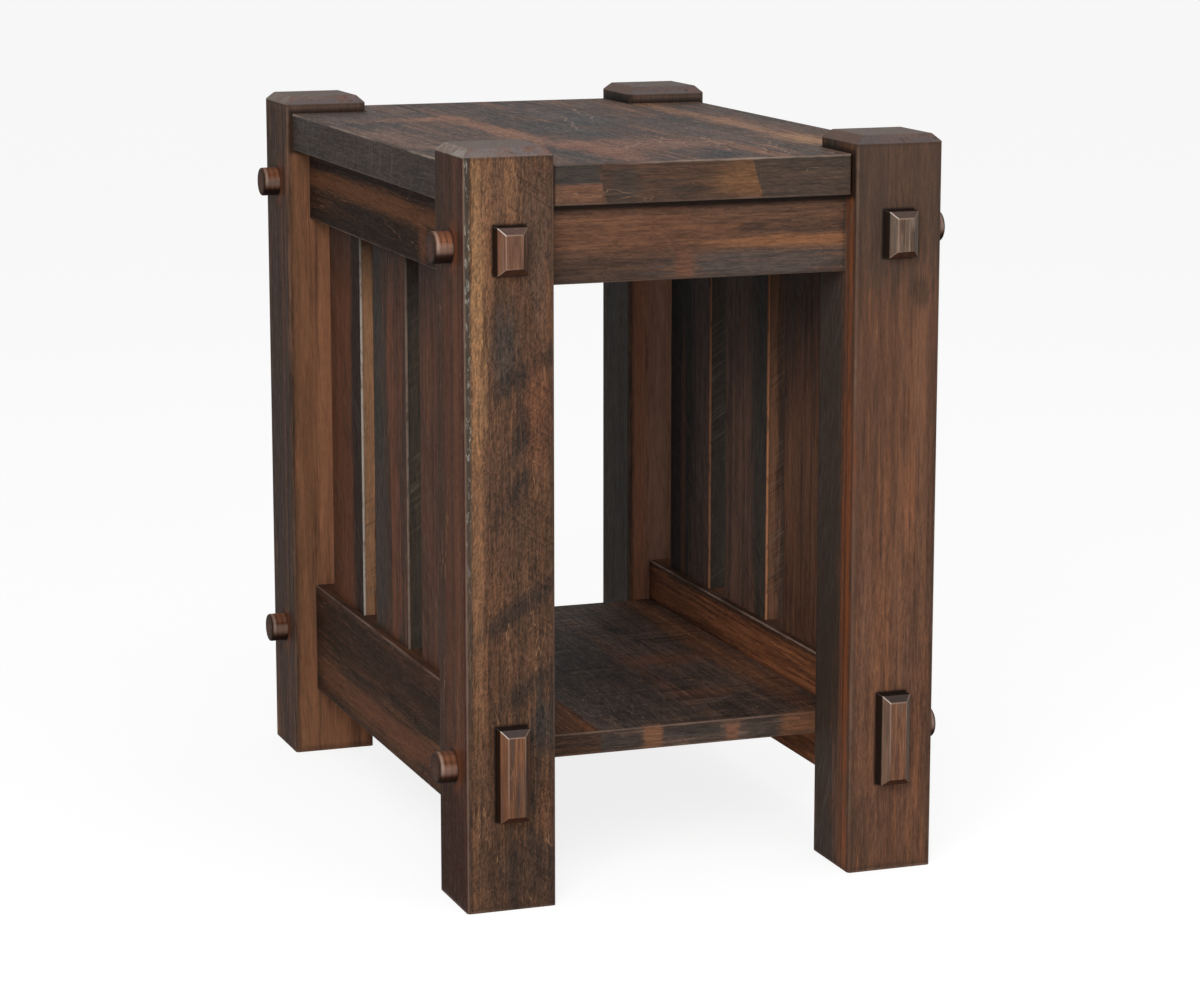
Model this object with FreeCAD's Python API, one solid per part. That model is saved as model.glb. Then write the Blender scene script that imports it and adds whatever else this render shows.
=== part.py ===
import FreeCAD, Part
import math
import os

Vector = FreeCAD.Vector

# A rustic side table of dark stained wood, every piece a solid of its own.
# The origin lies on the floor under the table's middle. X runs from left to right along
# the front, Y from the front to the back and Z up. All lengths are in millimetres.

# The whole table, over the outer faces of its posts
overall_width = 412.5
overall_depth = 609.5
table_height = 607.0

# Posts
post_width = 76.0
post_depth = 75.0
post_rise_above_top = 15.0
post_edge_radius = 3.0
post_top_bevel = 7.0
post_top_softening = 2.0

# Table top, notched round the posts
top_thickness = 33.4
top_side_inset = 5.0
top_end_inset = 7.0
top_post_gap = 2.0
top_edge_radius = 2.0
top_board_shares = (0.283, 0.335, 0.382)

# Side rails, with tenons that go through the posts
rail_thickness = 33.4
rail_edge_radius = 1.5
upper_rail_height = 64.5
lower_rail_height = 101.5
lower_rail_rise = 60.5
tenon_thickness = 25.5
upper_tenon_shoulder = 13.25
lower_tenon_shoulder_below = 16.0
lower_tenon_shoulder_above = 8.0
tenon_proud = 9.5
tenon_bevel = 5.5
tenon_edge_radius = 0.8
mortise_clearance = 0.2
mortise_end_slack = 0.5

# Aprons, with stub tenons in blind mortises
apron_thickness = 33.4
apron_tenon_thickness = 16.0
apron_tenon_shoulder = 10.0
apron_tenon_backing = 8.25

# Pegs: a thick head in a shallow seat and a shank through the rail's tenon
peg_diameter = 26.0
peg_proud = 15.5
peg_rim_radius = 1.8
peg_seat_depth = 10.0
peg_shank_diameter = 13.0
peg_clearance = 0.15
peg_grip_share = 0.6

# Slats between the upper and the lower side rail
slat_width = 101.0
slat_thickness = 19.0
slat_gap_aimed_for = 39.5
slat_edge_radius = 1.2
slat_tenon_thickness = 10.0
slat_tenon_shoulder = 8.0
slat_tenon_length = 12.0

# Shelf, tongued into the lower side rails
shelf_thickness = 19.5
shelf_top_above_rail_bottom = 62.5
shelf_edge_radius = 1.2
shelf_tongue_thickness = 9.5
shelf_tongue_length = 9.0
shelf_board_shares = (0.288, 0.355, 0.357)

# Buttons that hold the top down, each with a tongue in a slot of a rail or an apron
button_width = 30.0
button_body_length = 32.0
button_thickness = 18.0
button_edge_radius = 1.5
button_tongue_thickness = 8.0
button_tongue_length = 10.0
side_button_spacing = 240.0

# Countersunk wood screws with a straight slot
screw_length = 32.0
screw_shank_diameter = 4.2
screw_head_diameter = 8.2
screw_point_length = 5.0
screw_slot_width = 1.2
screw_slot_depth = 1.1
screw_clearance = 0.1

# How far every cutting shape runs past the faces that it cuts
overrun = 5.0

# Places that follow from the sizes above
post_height = table_height + post_rise_above_top
outer_x = overall_width / 2
outer_y = overall_depth / 2
inner_x = outer_x - post_width
inner_y = outer_y - post_depth
post_middle_x = outer_x - post_width / 2
post_middle_y = outer_y - post_depth / 2

top_underside = table_height - top_thickness
top_x = outer_x - top_side_inset
top_y = outer_y - top_end_inset

rail_outer_x = post_middle_x + rail_thickness / 2
rail_inner_x = post_middle_x - rail_thickness / 2
upper_rail_bottom = top_underside - upper_rail_height
lower_rail_top = lower_rail_rise + lower_rail_height
upper_tenon_bottom = upper_rail_bottom + upper_tenon_shoulder
upper_tenon_top = top_underside - upper_tenon_shoulder
lower_tenon_bottom = lower_rail_rise + lower_tenon_shoulder_below
lower_tenon_top = lower_rail_top - lower_tenon_shoulder_above
tenon_tip = tenon_proud + tenon_bevel

cheek = (post_width - tenon_thickness) / 2
apron_tenon_length = cheek - apron_tenon_backing
apron_inner_y = post_middle_y - apron_thickness / 2

peg_radius = peg_diameter / 2
peg_shank_radius = peg_shank_diameter / 2
peg_reach = cheek + tenon_thickness + peg_grip_share * apron_tenon_backing
peg_heights = {
    "upper": (upper_tenon_bottom + upper_tenon_top) / 2,
    "lower": (lower_tenon_bottom + lower_tenon_top) / 2,
}

slat_run = 2 * inner_y
slat_count = max(1, round((slat_run - slat_gap_aimed_for) / (slat_width + slat_gap_aimed_for)))
slat_gap = (slat_run - slat_count * slat_width) / (slat_count + 1)

shelf_height = lower_rail_rise + shelf_top_above_rail_bottom
shelf_middle_height = shelf_height - shelf_thickness / 2

button_bottom = top_underside - button_thickness
screw_shank_radius = screw_shank_diameter / 2
screw_head_radius = screw_head_diameter / 2

# The plane of an outline and the direction in which it is drawn out
DIRECTIONS = {
    "X": (Vector(0, 1, 0), Vector(0, 0, 1), Vector(1, 0, 0)),
    "Y": (Vector(1, 0, 0), Vector(0, 0, 1), Vector(0, 1, 0)),
    "Z": (Vector(1, 0, 0), Vector(0, 1, 0), Vector(0, 0, 1)),
}


def rounded_edges(points, radii):
    """The edges of a closed outline whose corners are rounded, each by its own radius."""
    edges = []
    arcs = []
    for i, corner in enumerate(points):
        back = (points[i - 1] - corner).normalize()
        ahead = (points[(i + 1) % len(points)] - corner).normalize()
        half_angle = back.getAngle(ahead) / 2
        reach = radii[i] / math.tan(half_angle)
        bisector = (back + ahead).normalize()
        middle = corner + bisector * (radii[i] / math.sin(half_angle) - radii[i])
        arcs.append((corner + back * reach, middle, corner + ahead * reach))
    for i, (start, middle, end) in enumerate(arcs):
        if radii[i] > 0:
            edges.append(Part.Arc(start, middle, end).toShape())
        edges.append(Part.LineSegment(end, arcs[(i + 1) % len(arcs)][0]).toShape())
    return edges


def prism(axis, corners, radii, start, end):
    """A solid with a rounded outline, drawn out along one axis from start to end."""
    across, up, along = DIRECTIONS[axis]
    points = [across * u + up * v + along * start for u, v in corners]
    outline = Part.Wire(rounded_edges(points, radii))
    return Part.Face(outline).extrude(along * (end - start))


def bar(axis, low, high, start, end, radius=0):
    """A straight bar between two opposite corners of its section, with its long edges eased."""
    corners = [low, (high[0], low[1]), high, (low[0], high[1])]
    return prism(axis, corners, [radius] * 4, start, end)


def block(low, high):
    """A square-edged block between two opposite corners."""
    size = Vector(*high) - Vector(*low)
    return Part.makeBox(size.x, size.y, size.z, Vector(*low))


def to_right(shape):
    """The same piece on the other side of the table."""
    return shape.mirror(Vector(0, 0, 0), Vector(1, 0, 0))


def to_back(shape):
    """The same piece at the other end of the table."""
    return shape.mirror(Vector(0, 0, 0), Vector(0, 1, 0))


def bevelled_profile(low, high, height):
    """The outline and corner radii of a post seen from one side, with its bevelled top."""
    bevel = post_top_bevel
    corners = [
        (low, 0),
        (high, 0),
        (high, height - bevel),
        (high - bevel, height),
        (low + bevel, height),
        (low, height - bevel),
    ]
    return corners, [0, 0] + [post_top_softening] * 4


def tenon_mortise(bottom, top):
    """The through mortise of a side rail in the front left post."""
    half = tenon_thickness / 2 + mortise_clearance
    return block(
        (-post_middle_x - half, -outer_y - overrun, bottom - mortise_clearance),
        (-post_middle_x + half, -inner_y + overrun, top + mortise_clearance),
    )


def apron_tenon(clearance, slack):
    """The stub tenon of the front apron in the front left post, or its mortise with clearance."""
    half = apron_tenon_thickness / 2 + clearance
    return block(
        (
            -inner_x - apron_tenon_length - slack,
            -post_middle_y - half,
            upper_rail_bottom + apron_tenon_shoulder - clearance,
        ),
        (
            -inner_x + overrun,
            -post_middle_y + half,
            top_underside - apron_tenon_shoulder + clearance,
        ),
    )


def peg(height):
    """A stepped peg in the front left post, with the rim of its head rounded."""
    face = -peg_proud
    rim = peg_radius - peg_rim_radius
    bend = peg_rim_radius * (1 - math.sqrt(0.5))
    arc = Part.Arc(
        Vector(face, rim, 0),
        Vector(face + bend, peg_radius - bend, 0),
        Vector(face + peg_rim_radius, peg_radius, 0),
    )
    points = [
        Vector(face + peg_rim_radius, peg_radius, 0),
        Vector(peg_seat_depth, peg_radius, 0),
        Vector(peg_seat_depth, peg_shank_radius, 0),
        Vector(peg_reach, peg_shank_radius, 0),
        Vector(peg_reach, 0, 0),
        Vector(face, 0, 0),
        Vector(face, rim, 0),
    ]
    sides = [Part.LineSegment(a, b).toShape() for a, b in zip(points, points[1:])]
    outline = Part.Wire([arc.toShape()] + sides)
    solid = Part.Face(outline).revolve(Vector(0, 0, 0), Vector(1, 0, 0), 360)
    return solid.translated(Vector(-outer_x, -post_middle_y, height))


def peg_hole(height):
    """The stepped hole of a peg, through the outer cheek and the tenon of the front left post."""
    along = Vector(1, 0, 0)
    seat_start = Vector(-outer_x - overrun, -post_middle_y, height)
    seat = Part.makeCylinder(
        peg_radius + peg_clearance, overrun + peg_seat_depth + peg_clearance, seat_start, along
    )
    bore_start = Vector(-outer_x, -post_middle_y, height)
    bore = Part.makeCylinder(
        peg_shank_radius + peg_clearance, peg_reach + peg_clearance, bore_start, along
    )
    return seat.fuse(bore)


def post():
    """The front left post, with its mortises and peg holes."""
    corners, radii = bevelled_profile(-outer_x, -inner_x, post_height)
    from_front = prism("Y", corners, radii, -outer_y, -inner_y)
    corners, radii = bevelled_profile(-outer_y, -inner_y, post_height)
    from_side = prism("X", corners, radii, -outer_x, -inner_x)
    eased = bar(
        "Z", (-outer_x, -outer_y), (-inner_x, -inner_y), 0, post_height, post_edge_radius
    )
    solid = eased.common(from_front).common(from_side)
    solid = solid.cut(tenon_mortise(upper_tenon_bottom, upper_tenon_top))
    solid = solid.cut(tenon_mortise(lower_tenon_bottom, lower_tenon_top))
    solid = solid.cut(apron_tenon(mortise_clearance, mortise_end_slack))
    for height in peg_heights.values():
        solid = solid.cut(peg_hole(height))
    return solid


def tenons(bottom, top):
    """Both through tenons of the left side rail as one bar, with four-sided bevelled ends."""
    end = outer_y + tenon_tip
    shoulder = outer_y + tenon_proud

    def outline(low, high):
        corners = [
            (low + tenon_bevel, -end),
            (high - tenon_bevel, -end),
            (high, -shoulder),
            (high, shoulder),
            (high - tenon_bevel, end),
            (low + tenon_bevel, end),
            (low, shoulder),
            (low, -shoulder),
        ]
        return corners, [tenon_edge_radius] * len(corners)

    low = -post_middle_x - tenon_thickness / 2
    high = -post_middle_x + tenon_thickness / 2
    corners, radii = outline(low, high)
    from_above = prism("Z", corners, radii, bottom, top)
    corners, radii = outline(bottom, top)
    turned = [(y, z) for z, y in corners]
    from_side = prism("X", turned, radii, low, high)
    return from_above.common(from_side)


def slat_places():
    """The front and back edge of each slat, from the front of the table to its back."""
    step = slat_width + slat_gap
    fronts = [-inner_y + slat_gap + i * step for i in range(slat_count)]
    return [(front, front + slat_width) for front in fronts]


def slat_tenon(front, back, low, high, clearance):
    """The part of a left slat that is let into a rail, or its mortise with clearance."""
    half = slat_tenon_thickness / 2 + clearance
    return block(
        (-post_middle_x - half, front + slat_tenon_shoulder - clearance, low),
        (-post_middle_x + half, back - slat_tenon_shoulder + clearance, high),
    )


def slat(front, back):
    """A left slat with a stub tenon at each end."""
    half = slat_thickness / 2
    solid = bar(
        "Z",
        (-post_middle_x - half, front),
        (-post_middle_x + half, back),
        lower_rail_top,
        upper_rail_bottom,
        slat_edge_radius,
    )
    low = lower_rail_top - slat_tenon_length
    high = upper_rail_bottom + slat_tenon_length
    return solid.fuse(slat_tenon(front, back, low, high, 0)).removeSplitter()


def shelf_groove():
    """The groove along the left lower rail that holds the shelf's tongue."""
    half = shelf_tongue_thickness / 2 + mortise_clearance
    depth = shelf_tongue_length + mortise_end_slack
    return block(
        (-rail_inner_x - depth, -inner_y, shelf_middle_height - half),
        (-rail_inner_x + overrun, inner_y, shelf_middle_height + half),
    )


def lower_side_rail():
    """The left lower rail, grooved for the shelf and mortised for the slats."""
    section_low = (-rail_outer_x, lower_rail_rise)
    section_high = (-rail_inner_x, lower_rail_top)
    solid = bar("Y", section_low, section_high, -inner_y, inner_y, rail_edge_radius)
    solid = solid.fuse(tenons(lower_tenon_bottom, lower_tenon_top))
    solid = solid.cut(shelf_groove())
    floor = lower_rail_top - slat_tenon_length - mortise_end_slack
    for front, back in slat_places():
        mortise = slat_tenon(front, back, floor, lower_rail_top + overrun, mortise_clearance)
        solid = solid.cut(mortise)
    solid = solid.cut(peg_hole(peg_heights["lower"]))
    return solid.cut(to_back(peg_hole(peg_heights["lower"]))).removeSplitter()


def upper_side_rail():
    """The left upper rail, mortised for the slats from below and slotted for two buttons."""
    section_low = (-rail_outer_x, upper_rail_bottom)
    section_high = (-rail_inner_x, top_underside)
    solid = bar("Y", section_low, section_high, -inner_y, inner_y, rail_edge_radius)
    solid = solid.fuse(tenons(upper_tenon_bottom, upper_tenon_top))
    ceiling = upper_rail_bottom + slat_tenon_length + mortise_end_slack
    for front, back in slat_places():
        mortise = slat_tenon(
            front, back, upper_rail_bottom - overrun, ceiling, mortise_clearance
        )
        solid = solid.cut(mortise)
    slot = left_button_slot()
    solid = solid.cut(slot).cut(to_back(slot))
    solid = solid.cut(peg_hole(peg_heights["upper"]))
    return solid.cut(to_back(peg_hole(peg_heights["upper"]))).removeSplitter()


def apron():
    """The front apron with its stub tenons and the slot for one button."""
    low = (-post_middle_y - apron_thickness / 2, upper_rail_bottom)
    high = (-apron_inner_y, top_underside)
    solid = bar("X", low, high, -inner_x, inner_x, rail_edge_radius)
    left_tenon = apron_tenon(0, 0)
    solid = solid.fuse(left_tenon).fuse(to_right(left_tenon))
    return solid.cut(front_button_slot()).removeSplitter()


def button_tongue(slack):
    """The tongue of a button, along negative X from the origin, or its slot with slack."""
    half = button_width / 2 + slack
    tongue_low = button_bottom - slack
    tongue_high = button_bottom + button_tongue_thickness + slack
    depth = button_tongue_length + (mortise_end_slack if slack else 0)
    return block((-depth, -half, tongue_low), (0, half, tongue_high))


def button():
    """A button at the origin, under the top, bored for a countersunk screw."""
    half = button_width / 2
    body = bar(
        "X",
        (-half, button_bottom),
        (half, top_underside),
        0,
        button_body_length,
        button_edge_radius,
    )
    solid = body.fuse(button_tongue(0)).removeSplitter()
    return solid.cut(screw_hole())


def screw_outline(gap, length):
    """Half the section of a countersunk screw that points up, widened by a gap."""
    shank = screw_shank_radius + gap
    head = screw_head_radius + gap
    cone_end = button_bottom + head - shank
    tip = button_bottom + length
    return shank, head, cone_end, tip


def revolved(points):
    """The solid of a closed outline of radius and height, turned about the upright axis."""
    corners = [Vector(radius, 0, height) for radius, height in points]
    face = Part.Face(Part.makePolygon(corners + corners[:1]))
    return face.revolve(Vector(0, 0, 0), Vector(0, 0, 1), 360)


def screw_place():
    """The screw's place in a button whose tongue points along negative X."""
    return Vector(button_body_length / 2, 0, 0)


def screw():
    """A slotted screw in the button at the origin."""
    shank, head, cone_end, tip = screw_outline(0, screw_length)
    solid = revolved(
        [
            (0, button_bottom),
            (head, button_bottom),
            (shank, cone_end),
            (shank, tip - screw_point_length),
            (0, tip),
        ]
    )
    half = screw_slot_width / 2
    slot = block(
        (-screw_head_radius - overrun, -half, button_bottom - overrun),
        (screw_head_radius + overrun, half, button_bottom + screw_slot_depth),
    )
    return solid.cut(slot).translated(screw_place())


def screw_hole():
    """The countersunk hole of a screw through the button at the origin, and on into the top."""
    shank, head, cone_end, tip = screw_outline(screw_clearance, screw_length + screw_clearance)
    solid = revolved(
        [
            (0, button_bottom - overrun),
            (head, button_bottom - overrun),
            (head, button_bottom),
            (shank, cone_end),
            (shank, tip),
            (0, tip),
        ]
    )
    return solid.translated(screw_place())


def against_left_rail(shape):
    """Moves a button, its slot or its screw from the origin to the left upper rail."""
    return shape.translated(Vector(-rail_inner_x, -side_button_spacing / 2, 0))


def against_front_apron(shape):
    """Turns a button, its slot or its screw from the origin to the middle of the front apron."""
    turned = shape.rotated(Vector(0, 0, 0), Vector(0, 0, 1), 90)
    return turned.translated(Vector(0, -apron_inner_y, 0))


def left_button_slot():
    """The slot in the left upper rail for the tongue of the button near the front."""
    return against_left_rail(button_tongue(mortise_clearance))


def front_button_slot():
    """The slot in the front apron for its button's tongue."""
    return against_front_apron(button_tongue(mortise_clearance))


def six_places(shape):
    """A piece of a button at its six places, by the names of the places."""
    left_front = against_left_rail(shape)
    front = against_front_apron(shape)
    return {
        "left_front": left_front,
        "left_back": to_back(left_front),
        "right_front": to_right(left_front),
        "right_back": to_right(to_back(left_front)),
        "front": front,
        "back": to_back(front),
    }


def boards(panel, start, end, shares):
    """A glued panel cut into its boards, side by side from the left."""
    seams = [
        start + sum(shares[:i]) / sum(shares) * (end - start) for i in range(1, len(shares))
    ]
    cuts = [-outer_x - overrun] + seams + [outer_x + overrun]
    pieces = []
    for left, right in zip(cuts, cuts[1:]):
        cutter = block(
            (left, -outer_y - overrun, -overrun),
            (right, outer_y + overrun, post_height + overrun),
        )
        pieces.append(panel.common(cutter).removeSplitter())
    return pieces


def top_panel():
    """The whole table top, notched round the posts, with its outer edges eased."""
    notch_x = inner_x - top_post_gap
    notch_y = inner_y - top_post_gap
    corner = [(top_x, notch_y), (notch_x, notch_y), (notch_x, top_y)]
    corners = (
        corner
        + [(-x, y) for x, y in reversed(corner)]
        + [(-x, -y) for x, y in corner]
        + [(x, -y) for x, y in reversed(corner)]
    )
    eased = top_edge_radius
    radii = [eased, 0, eased] * 4
    plan = prism("Z", corners, radii, top_underside, table_height)
    across = bar(
        "Y", (-top_x, top_underside), (top_x, table_height), -outer_y, outer_y, eased
    )
    along = bar(
        "X", (-top_y, top_underside), (top_y, table_height), -outer_x, outer_x, eased
    )
    panel = plan.common(across).common(along)
    for hole in six_places(screw_hole()).values():
        panel = panel.cut(hole)
    return panel


def shelf_panel():
    """The whole shelf with a tongue along each side, its front and back edges eased."""
    low = (-inner_y, shelf_height - shelf_thickness)
    high = (inner_y, shelf_height)
    panel = bar("X", low, high, -rail_inner_x, rail_inner_x, shelf_edge_radius)
    half = shelf_tongue_thickness / 2
    reach = rail_inner_x + shelf_tongue_length
    tongue = block(
        (-reach, -inner_y, shelf_middle_height - half),
        (reach, inner_y, shelf_middle_height + half),
    )
    return panel.fuse(tongue).removeSplitter()


def table():
    """Every piece of the table by its name."""
    pieces = {}

    corner_post = post()
    pieces["post_front_left"] = corner_post
    pieces["post_front_right"] = to_right(corner_post)
    pieces["post_back_left"] = to_back(corner_post)
    pieces["post_back_right"] = to_right(to_back(corner_post))

    pieces["side_rail_upper_left"] = upper_side_rail()
    pieces["side_rail_upper_right"] = to_right(pieces["side_rail_upper_left"])
    pieces["side_rail_lower_left"] = lower_side_rail()
    pieces["side_rail_lower_right"] = to_right(pieces["side_rail_lower_left"])

    pieces["apron_front"] = apron()
    pieces["apron_back"] = to_back(pieces["apron_front"])

    for number, (front, back) in enumerate(slat_places(), 1):
        pieces[f"slat_left_{number}"] = slat(front, back)
        pieces[f"slat_right_{number}"] = to_right(pieces[f"slat_left_{number}"])

    top_boards = boards(top_panel(), -top_x, top_x, top_board_shares)
    shelf_boards = boards(shelf_panel(), -rail_inner_x, rail_inner_x, shelf_board_shares)
    for place, top_board, shelf_board in zip(
        ("left", "middle", "right"), top_boards, shelf_boards
    ):
        pieces[f"top_board_{place}"] = top_board
        pieces[f"shelf_board_{place}"] = shelf_board

    for level, height in peg_heights.items():
        front_left = peg(height)
        pieces[f"peg_{level}_front_left"] = front_left
        pieces[f"peg_{level}_front_right"] = to_right(front_left)
        pieces[f"peg_{level}_back_left"] = to_back(front_left)
        pieces[f"peg_{level}_back_right"] = to_right(to_back(front_left))

    for place, shape in six_places(button()).items():
        pieces[f"top_button_{place}"] = shape
    pieces["button_screws"] = Part.makeCompound(list(six_places(screw()).values()))
    return pieces


os.makedirs("parts", exist_ok=True)
for name, shape in table().items():
    shape.exportStep(f"parts/{name}.step")
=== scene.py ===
import math
from collections import namedtuple

import bmesh
import bpy
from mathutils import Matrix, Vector


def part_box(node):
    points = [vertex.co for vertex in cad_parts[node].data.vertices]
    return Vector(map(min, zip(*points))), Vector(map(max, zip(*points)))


# A rustic side table in dark stained, rough sawn wood. X runs to the right along the front,
# Y from the front to the back and Z up, in metres, with the origin on the floor.
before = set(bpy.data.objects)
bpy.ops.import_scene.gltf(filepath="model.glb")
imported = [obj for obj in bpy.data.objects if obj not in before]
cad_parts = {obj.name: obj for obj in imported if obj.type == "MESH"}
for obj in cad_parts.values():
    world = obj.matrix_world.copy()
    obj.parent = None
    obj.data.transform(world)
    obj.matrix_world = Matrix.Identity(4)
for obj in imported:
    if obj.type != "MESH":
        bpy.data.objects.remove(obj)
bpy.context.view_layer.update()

# Sizes of the construction that the finish follows
POST_WIDTH = 0.076
POST_DEPTH = 0.075
POST_TOP_BEVEL = 0.007
TENON_THICKNESS = 0.0255
UPPER_TENON_SHOULDER = 0.01325
LOWER_TENON_SHOULDER_BELOW = 0.016
LOWER_TENON_SHOULDER_ABOVE = 0.008
TENON_BEVEL = 0.0055
PEG_RADIUS = 0.013

# Where the slanted seams in the top's front edge lie along X, and how far they blur
LEFT_SEAM = -0.093
RIGHT_SEAM = 0.041
SEAM_BLUR = 0.0006

# How closely the growth lines and the rings of end grain lie, in radians per metre
GROWTH_LINES = 1500
END_GRAIN_RINGS = 2100
PEG_RINGS = 1300

# How wide a crack is, and how sharply the masks of a tenon's bevels begin
CRACK_WIDTH = 0.0012
SHARP = 4000

POST_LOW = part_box("post_front_left")[0]
OUTER_X = -POST_LOW.x
OUTER_Y = -POST_LOW.y
INNER_X = OUTER_X - POST_WIDTH
INNER_Y = OUTER_Y - POST_DEPTH
POST_MIDDLE_X = OUTER_X - POST_WIDTH / 2
POST_MIDDLE_Y = OUTER_Y - POST_DEPTH / 2


def tone(red, green, blue):
    """A colour given as 0 to 255 on the screen's scale, for a shader."""

    def linear(value):
        share = value / 255
        return share / 12.92 if share <= 0.04045 else ((share + 0.055) / 1.055) ** 2.4

    return (linear(red), linear(green), linear(blue), 1.0)


class Tree:
    """A shader node tree, with short calls that add a node and set or link what goes into it."""

    def __init__(self, tree):
        self.tree = tree
        tree.nodes.clear()

    def put(self, socket, value):
        """Links or sets one input. Three plain numbers are a colour on the screen's scale."""
        if isinstance(value, bpy.types.NodeSocket):
            self.tree.links.new(value, socket)
        elif socket.type == "RGBA" and len(value) == 3:
            socket.default_value = tone(*value)
        else:
            socket.default_value = value

    def node(self, kind, inputs, **settings):
        made = self.tree.nodes.new(kind)
        for name, value in settings.items():
            setattr(made, name, value)
        for name, value in inputs.items():
            self.put(made.inputs[name], value)
        return made

    def effect(self, name, **inputs):
        """One of the effects below, by its name, with its own values."""
        made = self.node("ShaderNodeGroup", {}, node_tree=EFFECTS[name])
        for key, value in inputs.items():
            self.put(made.inputs[key.replace("_", " ")], value)
        return made.outputs

    def math(self, operation, *values, clamp=False):
        inputs = dict(enumerate(values))
        made = self.node("ShaderNodeMath", inputs, operation=operation, use_clamp=clamp)
        return made.outputs[0]

    def times(self, first, *others, clamp=False):
        for other in others:
            first = self.math("MULTIPLY", first, other, clamp=clamp)
        return first

    def plus(self, first, second):
        return self.math("ADD", first, second)

    def minus(self, first, second):
        return self.math("SUBTRACT", first, second)

    def times_plus(self, first, second, third):
        return self.math("MULTIPLY_ADD", first, second, third)

    def larger(self, first, second):
        return self.math("MAXIMUM", first, second)

    def smaller(self, first, second):
        return self.math("MINIMUM", first, second)

    def absolute(self, value):
        return self.math("ABSOLUTE", value)

    def vector(self, operation, *values):
        made = self.node("ShaderNodeVectorMath", dict(enumerate(values)), operation=operation)
        return made.outputs[1] if operation == "LENGTH" else made.outputs[0]

    def split(self, vector):
        return self.node("ShaderNodeSeparateXYZ", {0: vector}).outputs

    def join(self, *values):
        return self.node("ShaderNodeCombineXYZ", dict(enumerate(values))).outputs[0]

    def step(self, value, start, end, low=0.0, high=1.0):
        """Goes smoothly from low to high while the value goes from start to end."""
        inputs = {0: value, 1: start, 2: end, 3: low, 4: high}
        made = self.node("ShaderNodeMapRange", inputs, interpolation_type="SMOOTHSTEP")
        return made.outputs[0]

    def mix(self, amount, under, over):
        inputs = {0: amount, 6: under, 7: over}
        return self.node("ShaderNodeMix", inputs, data_type="RGBA").outputs[2]

    def noise(self, vector, stretch, detail=3.0, rough=0.5, distortion=0.0):
        """Noise whose grains per metre are given for each of the three directions."""
        inputs = {
            "Vector": self.vector("MULTIPLY", vector, stretch),
            "Scale": 1.0,
            "Detail": detail,
            "Roughness": rough,
            "Distortion": distortion,
        }
        return self.node("ShaderNodeTexNoise", inputs).outputs[0]

    def mapping(self, vector, place=(0, 0, 0), turn=(0, 0, 0), scale=(1, 1, 1), kind="POINT"):
        inputs = {"Vector": vector, "Location": place, "Rotation": turn, "Scale": scale}
        return self.node("ShaderNodeMapping", inputs, vector_type=kind).outputs[0]

    def bump(self, height, strength, distance):
        inputs = {"Height": height, "Strength": strength, "Distance": distance}
        return self.node("ShaderNodeBump", inputs).outputs[0]

    def surface(self, inputs):
        """The shader that the material shows, with its inputs."""
        shader = self.node("ShaderNodeBsdfPrincipled", inputs)
        self.node("ShaderNodeOutputMaterial", {"Surface": shader.outputs[0]})


def new_material(name):
    """An empty material with its tree."""
    material = bpy.data.materials.new(name)
    material.use_nodes = True
    return material, Tree(material.node_tree)


def give(node, material):
    """Makes a material the only one of a piece."""
    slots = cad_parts[node].data.materials
    slots.clear()
    slots.append(material)


# The effects by name, filled in as each is built
EFFECTS = {}


def new_effect(name, vectors="", colours="", numbers="", gives="Mask", gives_colour=False):
    """An empty effect with inputs by name. Returns its tree, its inputs and what closes it."""
    group = bpy.data.node_groups.new(name, "ShaderNodeTree")
    tree = Tree(group)

    def add(titles, in_out, kind):
        for title in titles.split():
            title = title.replace("_", " ")
            group.interface.new_socket(name=title, in_out=in_out, socket_type=kind)

    add(vectors, "INPUT", "NodeSocketVector")
    add(colours, "INPUT", "NodeSocketColor")
    add(numbers, "INPUT", "NodeSocketFloat")
    if gives_colour:
        add("Color", "OUTPUT", "NodeSocketColor")
    add(gives, "OUTPUT", "NodeSocketFloat")
    EFFECTS[name] = group
    given = group.nodes.new("NodeGroupInput").outputs
    result = group.nodes.new("NodeGroupOutput").inputs

    def finish(**values):
        for title, value in values.items():
            tree.put(result[title], value)

    return tree, given, finish


def broad_tones_effect():
    """The stain's slow changes along a board: streaks, warm bands and clouds of dark glaze."""
    tree, given, finish = new_effect(
        "broad_tones",
        vectors="Grain",
        colours="Deep Body Warm Glaze",
        numbers="Warm_Amount Glaze_Amount",
        gives="Cloud",
        gives_colour=True,
    )
    grain = given["Grain"]
    streak = tree.noise(grain, (62, 62, 3.4), 8, 0.7, 0.4)
    warm_streak = tree.noise(grain, (31, 31, 2.1), 8, 0.72, 0.6)
    cloud = tree.noise(grain, (17, 17, 6), 7, 0.68, 0.7)
    colour = tree.mix(tree.step(streak, 0.40, 0.60), given["Deep"], given["Body"])
    warm = tree.times(tree.step(warm_streak, 0.50, 0.66), given["Warm Amount"])
    colour = tree.mix(warm, colour, given["Warm"])
    mixed = tree.times_plus(cloud, 0.7, tree.times(streak, 0.3))
    glaze = tree.step(tree.times_plus(given["Glaze Amount"], 0.4, mixed), 0.67, 0.80)
    colour = tree.mix(glaze, colour, given["Glaze"])
    warm_vein = tree.noise(grain, (250, 250, 8), 5, 0.7, 0.3)
    cold_vein = tree.noise(grain, (150, 150, 5), 6, 0.72, 0.4)
    colour = tree.mix(tree.step(warm_vein, 0.50, 0.66, 0.0, 0.5), colour, given["Warm"])
    colour = tree.mix(tree.step(cold_vein, 0.52, 0.66, 0.0, 0.45), colour, given["Glaze"])
    finish(Color=colour, Cloud=cloud)


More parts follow.
